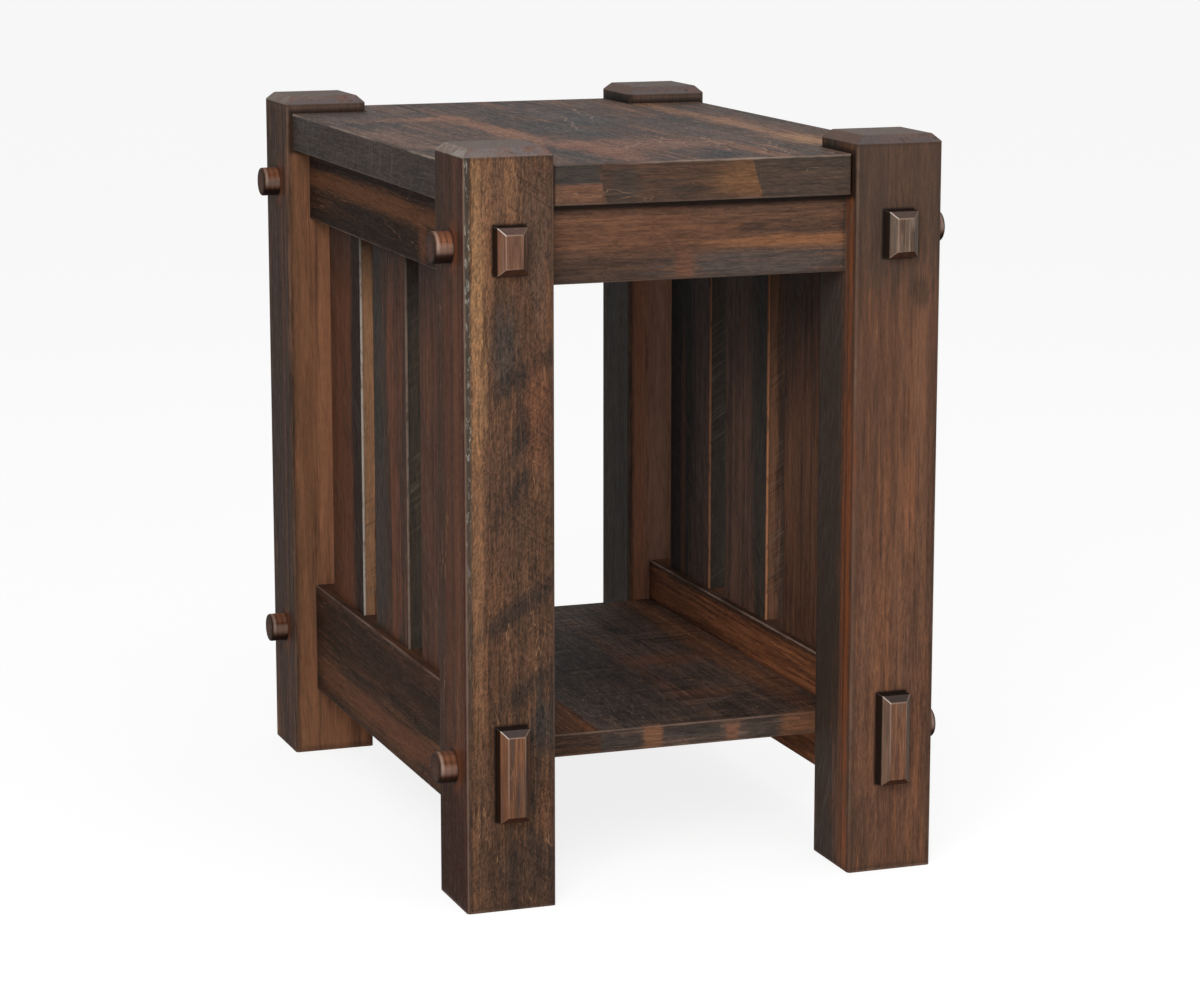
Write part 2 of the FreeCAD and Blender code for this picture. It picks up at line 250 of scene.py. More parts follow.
def fine_grain_effect():
    """Fibres, leaning hairs and thin growth lines over a colour, and their relief."""
    tree, given, finish = new_effect(
        "fine_grain",
        vectors="Grain",
        colours="Color",
        numbers="Contrast Hairs Lean Lines",
        gives="Height",
        gives_colour=True,
    )
    grain = given["Grain"]
    fibres = tree.noise(grain, (560, 560, 24), 4, 0.72)
    mottle = tree.noise(grain, (170, 170, 34), 4, 0.7)
    bend = tree.noise(grain, (9, 9, 2.2), 3, 0.55)
    x, y, z = tree.split(grain)

    # Short hairs that stand off the long fibres, some to one side and some to the other
    sway = tree.noise(grain, (38, 38, 26), 2, 0.6)
    slide = tree.times_plus(z, given["Lean"], tree.times(sway, 0.012))
    slide_back = tree.times(slide, -0.4)
    leaning_grain = tree.join(tree.minus(x, slide), tree.minus(y, slide), z)
    crossing_grain = tree.join(tree.minus(x, slide_back), tree.minus(y, slide_back), z)
    leaning = tree.noise(leaning_grain, (700, 700, 75), 4, 0.78)
    crossing = tree.noise(crossing_grain, (640, 640, 70), 3, 0.75)
    hairs = tree.times_plus(crossing, 0.35, tree.times(leaning, 0.65))
    hairs = tree.step(hairs, 0.36, 0.64, -0.5, 0.5)

    # Growth lines round a heart that lies outside the piece
    heart = tree.join(tree.times_plus(z, 0.035, x), tree.plus(y, 0.11), 0.0)
    phase = tree.times_plus(bend, 0.055, tree.vector("LENGTH", heart))
    wave = tree.math("SINE", tree.times(phase, GROWTH_LINES))
    broken = tree.times(wave, tree.step(mottle, 0.38, 0.62))
    lines = tree.times(tree.step(broken, 0.4, 1.0), given["Lines"])

    ripple = tree.plus(tree.times(fibres, 0.6), tree.times(mottle, 0.4))
    swing = tree.times(tree.minus(ripple, 0.5), given["Contrast"])
    swing = tree.times_plus(hairs, given["Hairs"], swing)
    level = tree.larger(tree.minus(tree.plus(swing, 1.0), lines), 0.15)
    # The light fibres are also the warmer ones
    tint = tree.join(tree.math("POWER", level, 1.12), level, tree.math("POWER", level, 0.86))
    colour = tree.vector("MULTIPLY", given["Color"], tint)
    relief = tree.times_plus(hairs, 0.4, ripple)
    finish(Color=colour, Height=tree.minus(relief, lines))


def saw_marks_effect():
    """Straight marks of the saw across a face, strong in some places and gone in others."""
    tree, given, finish = new_effect(
        "saw_marks", vectors="Position Turn", numbers="Pitch Presence", gives="Mark"
    )
    turned = tree.mapping(given["Position"], turn=given["Turn"])
    lines_per_metre = tree.math("DIVIDE", 1.0, given["Pitch"])
    x, y, z = tree.split(turned)
    grid = tree.join(tree.times(x, lines_per_metre), tree.times(y, 14), tree.times(z, 14))
    scratches = tree.noise(grid, (1, 1, 1), 5, 0.75, 0.15)
    patchy = tree.noise(turned, (20, 9, 9), 4, 0.6)
    shown = tree.step(tree.plus(patchy, given["Presence"]), 0.92, 1.12)
    finish(Mark=tree.times(tree.step(scratches, 0.50, 0.64), shown))


def edge_wear_and_highlight_effect():
    """How near a point of a squared piece lies to its edges, with a ragged line that is partly rubbed
    and partly painted highlight.
    """
    tree, given, finish = new_effect(
        "edge_wear_and_highlight", vectors="Position Middle Half", numbers="Width", gives="Wear Shade"
    )
    position = given["Position"]
    offset = tree.vector("SUBTRACT", position, given["Middle"])
    inside = tree.vector("SUBTRACT", given["Half"], tree.vector("ABSOLUTE", offset))
    x, y, z = tree.split(inside)
    edge = tree.larger(tree.smaller(x, y), tree.smaller(tree.larger(x, y), z))
    near = tree.math("DIVIDE", edge, given["Width"])
    ragged = tree.noise(position, (70, 70, 70), 5, 0.7)
    nicked = tree.times_plus(tree.minus(ragged, 0.5), 1.6, near)
    strong = tree.step(tree.noise(position, (12, 12, 12), 2), 0.35, 0.65, 0.25, 1.0)
    # The ragged pale line: partly rubbed edges, partly painted highlight
    wear_and_highlight = tree.times(tree.step(nicked, 1.25, 0.45), strong)
    finish(Wear=wear_and_highlight, Shade=tree.step(nicked, 3.6, 1.2))


def strands_effect():
    """Thin single lines that wander along the grain, such as checks and pale strands."""
    tree, given, finish = new_effect("strands", vectors="Vector", numbers="Width Presence")
    field = tree.noise(given["Vector"], (1, 1, 1), 4, 0.6)
    line = tree.step(tree.absolute(tree.minus(field, 0.5)), given["Width"], 0.0)
    here = tree.noise(given["Vector"], (2.3, 2.3, 2.3), 2)
    shown = tree.step(tree.plus(here, given["Presence"]), 0.98, 1.08)
    finish(Mask=tree.times(line, shown))


def patch_effect():
    """A soft or sharp edged patch with its own place, turn and reach."""
    tree, given, finish = new_effect(
        "patch", vectors="Position Place Turn Reach", numbers="Soft Square Cloud"
    )
    local = tree.mapping(
        given["Position"], given["Place"], given["Turn"], given["Reach"], kind="TEXTURE"
    )
    x, y, z = tree.split(tree.vector("ABSOLUTE", local))
    square_reach = tree.larger(tree.larger(x, y), z)
    reaches = {0: given["Square"], 2: tree.vector("LENGTH", local), 3: square_reach}
    reach = tree.plus(tree.node("ShaderNodeMix", reaches).outputs[0], given["Cloud"])
    start = tree.plus(given["Soft"], 1.0)
    finish(Mask=tree.step(reach, start, tree.minus(1.0, given["Soft"])))


def outline_shade_effect():
    """A soft band just outside the outline of a box, such as the dark round a joint."""
    tree, given, finish = new_effect(
        "outline_shade", vectors="Position Middle Half", numbers="Spread"
    )
    offset = tree.vector("SUBTRACT", given["Position"], given["Middle"])
    outside = tree.vector("SUBTRACT", tree.vector("ABSOLUTE", offset), given["Half"])
    distance = tree.vector("LENGTH", tree.vector("MAXIMUM", outside, (0.0, 0.0, 0.0)))
    finish(Mask=tree.step(tree.math("DIVIDE", distance, given["Spread"]), 1.0, 0.1))


def crack_effect():
    """A pale hairline that wanders over a level face from one point to another."""
    tree, given, finish = new_effect(
        "crack", vectors="Position Start Along", numbers="Length Width"
    )
    x, y, _ = tree.split(tree.vector("SUBTRACT", given["Position"], given["Start"]))
    along_x, along_y, _ = tree.split(given["Along"])
    run = tree.times_plus(x, along_x, tree.times(y, along_y))
    aside = tree.minus(tree.times(x, along_y), tree.times(y, along_x))
    bend = tree.noise(given["Position"], (45, 45, 45), 3, 0.6)
    wandering = tree.times_plus(tree.minus(bend, 0.5), 0.028, aside)
    line = tree.step(tree.absolute(wandering), given["Width"], 0.0)
    started = tree.step(run, 0.0, 0.02)
    ended = tree.step(tree.minus(given["Length"], run), 0.0, 0.02)
    finish(Mask=tree.times(line, started, ended))


broad_tones_effect()
crack_effect()
fine_grain_effect()
saw_marks_effect()
edge_wear_and_highlight_effect()
strands_effect()
patch_effect()
outline_shade_effect()


# Turns that lay the grain's own third axis along X, Y or Z of the table
GRAIN_TURNS = {
    "X": (0.0, -math.pi / 2, 0.0),
    "Y": (math.pi / 2, 0.0, 0.0),
    "Z": (0.0, 0.0, 0.0),
}

# Tones of the stain, from the glaze in the hollows to the bare wood on the worn edges. Soot and char
# also serve as painted shadow and shade, and the worn edge tone also as painted highlight
SOOT_AND_SHADOW = (28, 24, 22)
CHAR_AND_SHADE = (46, 39, 35)
SLATE = (56, 53, 50)
UMBER = (64, 46, 37)
RUSSET = (106, 68, 49)
TAN = (122, 86, 62)
WORN_AND_HIGHLIGHT = (118, 96, 82)


# A patch of colour, its place and its reach as shares of the piece's box
spot = namedtuple(
    "spot",
    "at reach colour strength soft turn square wobble",
    defaults=(0.8, 0.5, (0, 0, 0), 0.0, 1.2),
)


class Wood:
    """The stained finish of one piece of the table, put together step by step."""

    count = 0

    def __init__(self, node, grain="Z", box=None):
        Wood.count += 1
        self.node = node
        self.material, self.tree = new_material(f"{node}_stain")
        self.low, self.high = (Vector(corner) for corner in (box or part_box(node)))
        coordinates = self.tree.node("ShaderNodeTexCoord", {}).outputs
        self.position = coordinates["Object"]
        self.normal = coordinates["Normal"]
        # Each piece looks at its own part of the noise
        self.offset = (0.37 * Wood.count, 0.53 * Wood.count % 2.9, 1.31 * Wood.count)
        self.along = self.tree.mapping(self.position, self.offset, GRAIN_TURNS[grain])

    def turn_grain(self, where, axis):
        """Lays the grain along another axis, before the stain, where a mask is."""
        other = self.tree.mapping(self.position, self.offset, GRAIN_TURNS[axis])
        inputs = {0: where, 4: self.along, 5: other}
        self.along = self.tree.node("ShaderNodeMix", inputs, data_type="VECTOR").outputs[1]

    def stain(self, deep, body, warm, warm_amount, glaze_amount, glaze=CHAR_AND_SHADE):
        """The broad tones that everything else lies on."""
        made = self.tree.effect(
            "broad_tones",
            Grain=self.along,
            Deep=deep,
            Body=body,
            Warm=warm,
            Glaze=glaze,
            Warm_Amount=warm_amount,
            Glaze_Amount=glaze_amount,
        )
        self.colour = made["Color"]
        fuzz = self.tree.noise(self.along, (330, 330, 20), 6, 0.75)
        self.wobble = self.tree.minus(self.tree.times_plus(fuzz, 2.2, made["Cloud"]), 1.6)

    def cover(self, mask, colour, strength):
        """Lays a colour over what is there, where the mask is."""
        self.colour = self.tree.mix(self.tree.times(mask, strength), self.colour, colour)

    def place(self, share):
        """A point of the piece's box, given as shares of its size."""
        return self.low + self.reach(share)

    def reach(self, share):
        """A distance in each direction, given as shares of the box's size."""
        return Vector(a * b for a, b in zip(share, self.high - self.low))

    def patches(self, spots):
        for item in spots:
            mask = self.tree.effect(
                "patch",
                Position=self.position,
                Place=self.place(item.at),
                Turn=item.turn,
                Reach=self.reach(item.reach),
                Soft=item.soft,
                Square=item.square,
                Cloud=self.tree.times(self.wobble, item.wobble),
            )["Mask"]
            self.cover(mask, item.colour, item.strength)

    def grain(self, contrast, hairs, lean, lines=0.14):
        """The fine fibres, hairs and growth lines."""
        made = self.tree.effect(
            "fine_grain",
            Color=self.colour,
            Grain=self.along,
            Contrast=contrast,
            Hairs=hairs,
            Lean=lean,
            Lines=lines,
        )
        self.colour = made["Color"]
        self.fibres = self.height = made["Height"]

    def saw(self, face, tilt, pitch, presence, strength, colour, where):
        """Marks of the saw on a kind of face, tilted by some degrees, where a mask is."""
        tilt = math.radians(tilt)
        turn = {"X": (tilt, math.pi / 2, 0), "Y": (0, tilt, 0), "Z": (0, 0, tilt)}[face]
        mark = self.tree.effect(
            "saw_marks", Position=self.position, Turn=turn, Pitch=pitch, Presence=presence
        )["Mark"]
        mark = self.tree.times(mark, where)
        self.cover(mark, colour, strength)
        self.height = self.tree.minus(self.height, mark)

    def strands(self, stretch, colour, width, presence, strength, where=None):
        """Thin wandering lines, with their bends per metre in the grain's three directions."""
        field = self.tree.vector("MULTIPLY", self.along, stretch)
        made = self.tree.effect("strands", Vector=field, Width=width, Presence=presence)
        strand = made["Mask"] if where is None else self.tree.times(made["Mask"], where)
        self.cover(strand, colour, strength)

    def crack(self, start, end, colour, strength):
        """A pale hairline on the upper face, from one share of the piece's box to another."""
        first = self.place((*start, 0))
        run = self.place((*end, 0)) - first
        line = self.tree.effect(
            "crack",
            Position=self.position,
            Start=first,
            Along=run.normalized(),
            Length=run.length,
            Width=CRACK_WIDTH,
        )["Mask"]
        self.cover(self.tree.times(line, self.facing("Z", 1)), colour, strength)

    def edges(self, wear_and_highlight, width, box=None, shade=0.4, colour=WORN_AND_HIGHLIGHT, mask=None):
        """The arrises of the piece, partly rubbed and partly painted highlight, and a darker band
        beside them.
        """
        low, high = box or (self.low, self.high)
        made = self.tree.effect(
            "edge_wear_and_highlight",
            Position=self.position,
            Middle=(low + high) / 2,
            Half=(high - low) / 2,
            Width=width,
        )
        worn_and_lit = made["Wear"] if mask is None else self.tree.times(made["Wear"], mask)
        self.cover(made["Shade"], CHAR_AND_SHADE, shade)
        self.cover(worn_and_lit, colour, wear_and_highlight)

    def facing(self, axis, sign=0):
        """Where the surface faces along an axis: one way with a sign, both ways without."""
        part = self.tree.split(self.normal)["XYZ".index(axis)]
        part = self.tree.times(part, sign) if sign else self.tree.absolute(part)
        return self.tree.step(part, 0.55, 0.85)

    def shade(self, middle, half, spread, strength, colour):
        """The dark line that stain and shadow leave round a joint."""
        mask = self.tree.effect(
            "outline_shade", Position=self.position, Middle=middle, Half=half, Spread=spread
        )["Mask"]
        self.cover(mask, colour, strength)

    def finish(self, roughness=0.62, gloss=0.04):
        """Closes the material and gives it to its piece."""
        tree = self.tree
        tree.surface(
            {
                "Base Color": self.colour,
                "Roughness": tree.step(self.fibres, 0.3, 0.7, roughness + 0.1, roughness - 0.08),
                "Normal": tree.bump(self.height, 0.35, 0.0006),
                "Specular IOR Level": gloss,
            },
        )
        give(self.node, self.material)


def panel_box(panel):
    """The box round the three boards of the top or the shelf."""
    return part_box(f"{panel}_board_left")[0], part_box(f"{panel}_board_right")[1]


TOP_LOW, TOP_HIGH = panel_box("top")
TOP_MIDDLE = (TOP_LOW + TOP_HIGH) / 2
TOP_HALF = (TOP_HIGH - TOP_LOW) / 2


def tenon_middle_and_half(level):
    """Where the left tenon of a level passes through the posts, over its whole length."""
    low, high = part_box(f"side_rail_{level}_left")
    if level == "upper":
        bottom = low.z + UPPER_TENON_SHOULDER
        top = high.z - UPPER_TENON_SHOULDER
    else:
        bottom = low.z + LOWER_TENON_SHOULDER_BELOW
        top = high.z - LOWER_TENON_SHOULDER_ABOVE
    middle = Vector((-POST_MIDDLE_X, 0, (bottom + top) / 2))
    half = Vector((TENON_THICKNESS / 2, high.y, (top - bottom) / 2))
    return middle, half


# The turn of the dark marks that climb to the right on the front left post
UP_RIGHT = math.radians(-34)

# The colours of each post by name: deep, body, warm, how much warm and how much glaze
POST_STAINS = {
    "front_left": ((66, 48, 37), (88, 63, 48), (116, 79, 55), 0.45, 0.4),
    "front_right": ((82, 57, 44), (100, 70, 54), (120, 78, 54), 0.6, 0.12),
    "back_left": ((107, 73, 54), (137, 93, 68), (158, 106, 75), 0.5, 0.1),
    "back_right": ((70, 50, 39), (98, 70, 54), (116, 78, 57), 0.5, 0.2),
}

POST_SPOTS = {
    "front_left": [
        spot((0, 0.5, 0.5), (0.03, 0.8, 0.8), (76, 42, 25), 0.8, 0.3, wobble=0.5),
        spot((0, 0.5, 0.95), (0.03, 0.8, 0.14), (56, 37, 27), 0.75, 0.3, wobble=0.5),
        spot((0, 0.84, 0.5), (0.03, 0.14, 0.8), (52, 36, 29), 0.7, 0.4, wobble=0.5),
        spot((0, 0.44, 0.5), (0.03, 0.04, 0.8), (54, 36, 29), 0.6, 0.4, wobble=0.5),
        spot((0, 0.28, 0.5), (0.03, 0.08, 0.8), (102, 64, 47), 0.4, 0.4, wobble=0.5),
        spot((0, 0.5, 0.06), (0.03, 0.8, 0.12), (46, 21, 8), 0.9, 0.3, wobble=0.5),
        spot((0.15, 0, 0.86), (0.085, 0.06, 0.18), (146, 110, 76), 0.62, wobble=1.8),
        spot((0.42, 0, 0.94), (0.34, 0.05, 0.09), (108, 79, 60), 0.55, wobble=1.8),
        spot((0.26, 0, 0.90), (0.08, 0.06, 0.12), TAN, 0.4),
        spot((0.13, 0, 0.50), (0.07, 0.05, 0.30), (128, 92, 66), 0.5),
        spot((0.51, 0, 0.95), (0.05, 0.04, 0.06), TAN, 0.4),
        spot((0.82, 0, 0.89), (0.16, 0.04, 0.09), (66, 53, 47), 0.55, wobble=2.0),
        spot((0.45, 0, 0.745), (0.14, 0.05, 0.06), SLATE, 0.6),
        spot((0.70, 0, 0.715), (0.42, 0.05, 0.012), CHAR_AND_SHADE, 0.75, 0.7, (0, UP_RIGHT, 0)),
        spot((0.80, 0, 0.655), (0.14, 0.05, 0.07), RUSSET, 0.5),
        spot((0.50, 0, 0.53), (0.24, 0.05, 0.09), CHAR_AND_SHADE, 0.4),
        spot((0.60, 0, 0.405), (0.52, 0.05, 0.013), CHAR_AND_SHADE, 0.8, 0.7, (0, UP_RIGHT, 0)),
        spot((0.72, 0, 0.30), (0.38, 0.05, 0.013), CHAR_AND_SHADE, 0.75, 0.7, (0, UP_RIGHT, 0)),
        spot((0.88, 0, 0.25), (0.17, 0.05, 0.04), (50, 47, 44), 0.75),
        spot((0.90, 0, 0.13), (0.10, 0.05, 0.04), (90, 60, 44), 0.6),
        spot((0.66, 0, 0.05), (0.34, 0.05, 0.05), CHAR_AND_SHADE, 0.65),
    ],
    "front_right": [
        spot((0.5, 0, 0.93), (0.8, 0.05, 0.14), (64, 53, 46), 0.75),
        spot((0.78, 0, 0.79), (0.1, 0.04, 0.02), CHAR_AND_SHADE, 0.5),
        spot((0.9, 0, 0.70), (0.06, 0.04, 0.09), CHAR_AND_SHADE, 0.35),
        spot((0.2, 0, 0.06), (0.14, 0.04, 0.05), CHAR_AND_SHADE, 0.35),
        spot((0, 0.72, 0.5), (0.05, 0.40, 0.7), (58, 49, 43), 0.9, 0.25),
        spot((0, 0.16, 0.40), (0.05, 0.10, 0.42), (132, 73, 41), 0.75, wobble=2.4),
        spot((0, 0.20, 0.40), (0.05, 0.02, 0.42), CHAR_AND_SHADE, 0.6, wobble=2.0),
    ],
    "back_left": [
        spot((0.12, 0, 0.5), (0.16, 0.05, 0.8), TAN, 0.4),
        spot((0, 0.5, 0.5), (0.05, 0.7, 0.9), (32, 25, 22), 0.88),
        spot((0, 0.3, 0.5), (0.05, 0.05, 0.9), (86, 56, 42), 0.5),
        spot((0.5, 0, 0.99), (0.8, 0.05, 0.025), (84, 70, 62), 0.85, 0.3),
    ],
    "back_right": [
        spot((0.1, 0, 0.5), (0.18, 0.03, 0.9), (144, 96, 74), 0.6),
        spot((0.38, 0, 0.5), (0.14, 0.03, 0.9), (116, 86, 72), 0.7, 0.6, wobble=0.9),
        spot((0.5, 0, 0.86), (0.8, 0.05, 0.08), SOOT_AND_SHADOW, 0.75, 0.7, wobble=0.3),
        spot((0.5, 0, 0.99), (0.8, 0.05, 0.025), (84, 70, 62), 0.85, 0.3),
        spot((0, 0.5, 0.5), (0.05, 0.7, 0.9), (36, 34, 30), 0.9),
    ],
}

# How strongly each post shows its fibres, its hairs above and at the foot, and their lean
POST_GRAIN = {
    "front_left": (1.6, 0.9, 0.9, 0.32),
    "front_right": (1.15, 0.22, 0.55, 0.04),
    "back_left": (1.2, 0.2, 0.2, 0.02),
    "back_right": (1.2, 0.2, 0.2, 0.02),
}

# The bevels round each post's top: the front tone, a grey painted as sheen, the left tone, painted
# lighter as a highlight, and how ruddy they are
BEVEL_SHEEN_TONES = {
    "front_left": ((108, 101, 100), (150, 142, 134), 0.75),
    "front_right": ((84, 79, 79), (96, 76, 66), 0.3),
    "back_left": ((98, 93, 94), (130, 118, 110), 0.6),
    "back_right": ((98, 90, 90), (104, 84, 74), 0.6),
}


def worn_arris_and_highlight(piece):
    """The mossy strip down the front left corner, with a dark red line to its left and a pale line on
    the corner painted as a highlight.
    """
    tree = piece.tree
    x, y, z = tree.split(piece.position)
    beside = tree.minus(x, piece.low.x)
    behind = tree.minus(y, piece.low.y)
    ragged = tree.times_plus(piece.wobble, 0.0018, beside)
    strip = tree.times(tree.step(ragged, 0.0062, 0.0040), piece.facing("Y", -1))
    strip = tree.times(strip, tree.step(z, 0.10, 0.34))
    flakes = tree.noise(piece.along, (420, 420, 130), 3, 0.7)
    thin = tree.times(tree.step(flakes, 0.54, 0.66), tree.step(z, 0.24, 0.36, 0.35, 1.0))
    piece.cover(strip, tree.mix(thin, (62, 60, 54), (156, 156, 146)), 0.75)
    red = tree.times(tree.step(behind, 0.0065, 0.0045), piece.facing("X", -1))
    piece.cover(red, (70, 26, 18), 0.85)
    # A pale line right on the corner, painted as a highlight
    arris_highlight = tree.step(tree.larger(beside, behind), 0.0017, 0.0009)
    piece.cover(arris_highlight, (134, 118, 104), 0.5)


def peg_shadow(piece, x_sign):
    """The painted shadow in a band round each of a post's two pegs, and a painted warm glow in front
    of it.
    """
    tree = piece.tree
    _, y, z = tree.split(piece.position)
    outer_face = piece.facing("X", x_sign)
    beside = tree.minus(y, math.copysign(POST_MIDDLE_Y, piece.low.y))
    for level in ("upper", "lower"):
        above = tree.minus(z, tenon_middle_and_half(level)[0].z)
        away = tree.vector("LENGTH", tree.join(beside, above, 0.0))
        ring = tree.step(away, PEG_RADIUS + 0.004, PEG_RADIUS)
        glow = tree.step(away, PEG_RADIUS + 0.014, PEG_RADIUS + 0.004)
        glow = tree.times(glow, tree.step(beside, 0.004, -0.008))
        piece.cover(tree.times(glow, outer_face), (112, 62, 38), 0.45)
        piece.cover(tree.times(ring, outer_face), SOOT_AND_SHADOW, 0.7)


def post_joints(piece, side, x_sign):
    """The dark lines round a post's tenons, its pegs and the table top, partly stain and partly
    painted shadow.
    """
    for level in ("upper", "lower"):
        middle, half = tenon_middle_and_half(level)
        middle.x = x_sign * POST_MIDDLE_X
        if side == "right":
            # The dark line, partly painted shadow, is a little wider on the left of these tenons
            middle.x -= 0.0007
        piece.shade(middle, half, 0.0034, 0.9, (18, 13, 11))
    piece.shade(TOP_MIDDLE, TOP_HALF, 0.0065, 0.8, (18, 14, 13))
    peg_shadow(piece, x_sign)


def post_top(piece, front_sheen_tone, left_tone, ruddy_amount):
    """The bevels round a post's top, painted greyer as sheen and lighter to the left as a highlight,
    the end grain on it and a dark line below.
    """
    tree = piece.tree
    height = tree.split(piece.position)[2]
    start = piece.high.z - POST_TOP_BEVEL
    bevel = tree.step(height, start - 0.0006, start + 0.0006)
    to_x, _, to_z = tree.split(piece.normal)
    mottle = tree.noise(piece.position, (52, 52, 75), 5, 0.7)
    specks = tree.noise(piece.position, (260, 260, 260), 4, 0.7)
    ruddy = tree.step(mottle, 0.46, 0.60, 0.0, ruddy_amount)
    bevel_sheen = tree.mix(ruddy, front_sheen_tone, (112, 82, 72))
    bevel_sheen = tree.mix(tree.step(specks, 0.54, 0.66, 0.0, 0.55), bevel_sheen, CHAR_AND_SHADE)
    # The bevel painted grey where it faces up, as sheen
    piece.cover(tree.times(tree.step(to_z, 0.3, 0.6), bevel), bevel_sheen, 0.75)

    from_pith = tree.vector("SUBTRACT", piece.position, piece.place((0.9, -0.4, 0)))
    from_pith = tree.vector("LENGTH", tree.vector("MULTIPLY", from_pith, (1, 1, 0)))
    rings = tree.times_plus(mottle, 26.0, tree.times(from_pith, END_GRAIN_RINGS))
    rings = tree.step(tree.math("SINE", rings), -0.4, 1.0)
    end_grain = tree.mix(rings, (104, 93, 87), (78, 67, 61))
    piece.cover(tree.times(tree.step(to_z, 0.85, 0.95), bevel), end_grain, 0.85)

    # The bevel painted lighter where it faces left, as a highlight
    left_tone = tree.mix(ruddy, left_tone, (108, 90, 80))
    piece.cover(tree.times(tree.step(to_x, -0.3, -0.6), bevel), left_tone, 0.66)
    below = tree.step(height, start - 0.0035, start - 0.0005)
    piece.cover(tree.math("SUBTRACT", below, bevel, clamp=True), CHAR_AND_SHADE, 0.35)


def finish_posts():
    for end in ("front", "back"):
        for side, x_sign in (("left", -1), ("right", 1)):
            post = f"{end}_{side}"
            piece = Wood(f"post_{post}")
            tree = piece.tree
            piece.stain(*POST_STAINS[post])
            piece.patches(POST_SPOTS[post])
            x, _, z = tree.split(piece.position)
            contrast, hairs_above, hairs_at_foot, lean = POST_GRAIN[post]
            hairs = tree.step(z, 0.42, 0.22, hairs_above, hairs_at_foot)
            piece.grain(contrast, tree.step(piece.facing("X"), 0.0, 1.0, hairs, 0.2), lean)
            if post == "front_left":
                worn_arris_and_highlight(piece)
                # The saw marks fade in over the middle of the post, from left to right
                right_side = tree.step(x, -0.185, -0.15)
                piece.saw("Y", 56, 0.002, 0.55, 0.4, SOOT_AND_SHADOW, right_side)
                piece.strands((34, 34, 5), (150, 112, 82), 0.006, 0.46, 0.5)
            if post == "front_right":
                inner_face = piece.facing("X", -1)
                piece.saw("X", 64, 0.003, 0.5, 0.3, (104, 94, 86), inner_face)
            post_joints(piece, side, x_sign)
            piece.edges(0.45, 0.0021)
            post_top(piece, *BEVEL_SHEEN_TONES[post])
            piece.finish()


# The tones of the left and right bevels of the left and of the right tenons; the dark right bevel of
# the left tenons is painted shade
SIDE_BEVELS = {
    "left": (RUSSET, (46, 36, 31)),
    "right": ((96, 84, 74), (92, 84, 78)),
}


def tenon_end(piece, middle, half, on_tenon, side, upper_bevel_sheen):
    """The bevels of a tenon's end, with painted sheen on the upper one and painted shade on the lower
    one, painted highlights along their arrises, and the upright sides behind them painted dark as
    shade.
    """
    tree = piece.tree

    def above_nought(value, sign=1):
        return tree.times(value, sign * SHARP, clamp=True)

    flat = half - Vector((TENON_BEVEL, 0, TENON_BEVEL))
    local_x, _, local_z = tree.split(tree.vector("SUBTRACT", piece.position, middle))
    past_x = tree.minus(tree.absolute(local_x), flat.x)
    past_z = tree.minus(tree.absolute(local_z), flat.z)
    beside = above_nought(tree.minus(past_x, past_z))
    over_x = tree.times(above_nought(past_x), beside)
    over_z = tree.times(above_nought(past_z), tree.minus(1.0, beside))
    left_tone, right_tone = SIDE_BEVELS[side]
    # The lower bevel painted dark as shade, the upper one grey as sheen
    faces = (
        (over_x, local_x, -1, left_tone, 0.4),
        (over_x, local_x, 1, right_tone, 0.66),
        (over_z, local_z, 1, upper_bevel_sheen, 0.84),
        (over_z, local_z, -1, (48, 25, 15), 0.86),
    )
    for zone, place, sign, colour, strength in faces:
        mask = tree.times(zone, above_nought(place, sign), on_tenon)
        piece.cover(mask, colour, strength)
    # Painted highlights along the lit arrises and the upper left corner line
    nearest = tree.absolute(tree.larger(past_x, past_z))
    corner = tree.absolute(tree.minus(past_x, past_z))
    outward = above_nought(tree.plus(past_x, 0.0004))
    ridge_highlight = tree.times(tree.step(corner, 0.0009, 0.0002), outward)
    arris_highlight = tree.larger(tree.step(nearest, 0.0008, 0.0002), ridge_highlight)
    lit = tree.step(tree.minus(local_z, tree.times(local_x, 2.2)), -0.02, 0.01)
    piece.cover(tree.times(arris_highlight, lit, on_tenon), (142, 118, 104), 0.6)
    upper_left = tree.times(above_nought(local_x, -1), above_nought(local_z))
    piece.cover(tree.times(ridge_highlight, upper_left, on_tenon), (196, 184, 174), 0.75)
    # The upright sides round the end, painted dark as shade
    to_x, _, to_z = tree.split(piece.normal)
    sideways = tree.larger(tree.absolute(to_x), tree.absolute(to_z))
    shaded_walls = tree.times(tree.step(sideways, 0.85, 0.95), on_tenon)
    piece.cover(shaded_walls, (26, 17, 13), 0.88)


# The end grain of each pair of tenons by name: its tone, its light and dark stripes, their
# strength and the tone of the upper bevel, a grey painted as sheen
TENON_TONES = {
    "upper_left": ((110, 80, 64), (138, 122, 108), (84, 58, 46), 0.4, (76, 61, 56)),
    "lower_left": ((98, 68, 51), (122, 84, 60), (70, 62, 58), 0.65, (60, 55, 54)),
    "upper_right": ((92, 78, 68), (122, 106, 92), (86, 54, 42), 0.55, (74, 61, 57)),
    "lower_right": ((94, 68, 54), (114, 92, 78), (66, 50, 44), 0.6, (56, 50, 48)),
}


# The colours of each side rail by name, as for the posts
RAIL_STAINS = {
    "upper_left": ((38, 28, 24), (54, 40, 32), (95, 63, 44), 0.7, 0.3),
    "upper_right": ((48, 33, 26), (68, 44, 33), (98, 60, 40), 0.5, 0.4),
    "lower_left": ((52, 39, 30), (80, 54, 41), (115, 75, 53), 0.5, 0.4),
    "lower_right": ((104, 66, 46), (154, 98, 67), (186, 122, 80), 0.65, 0.2),
}

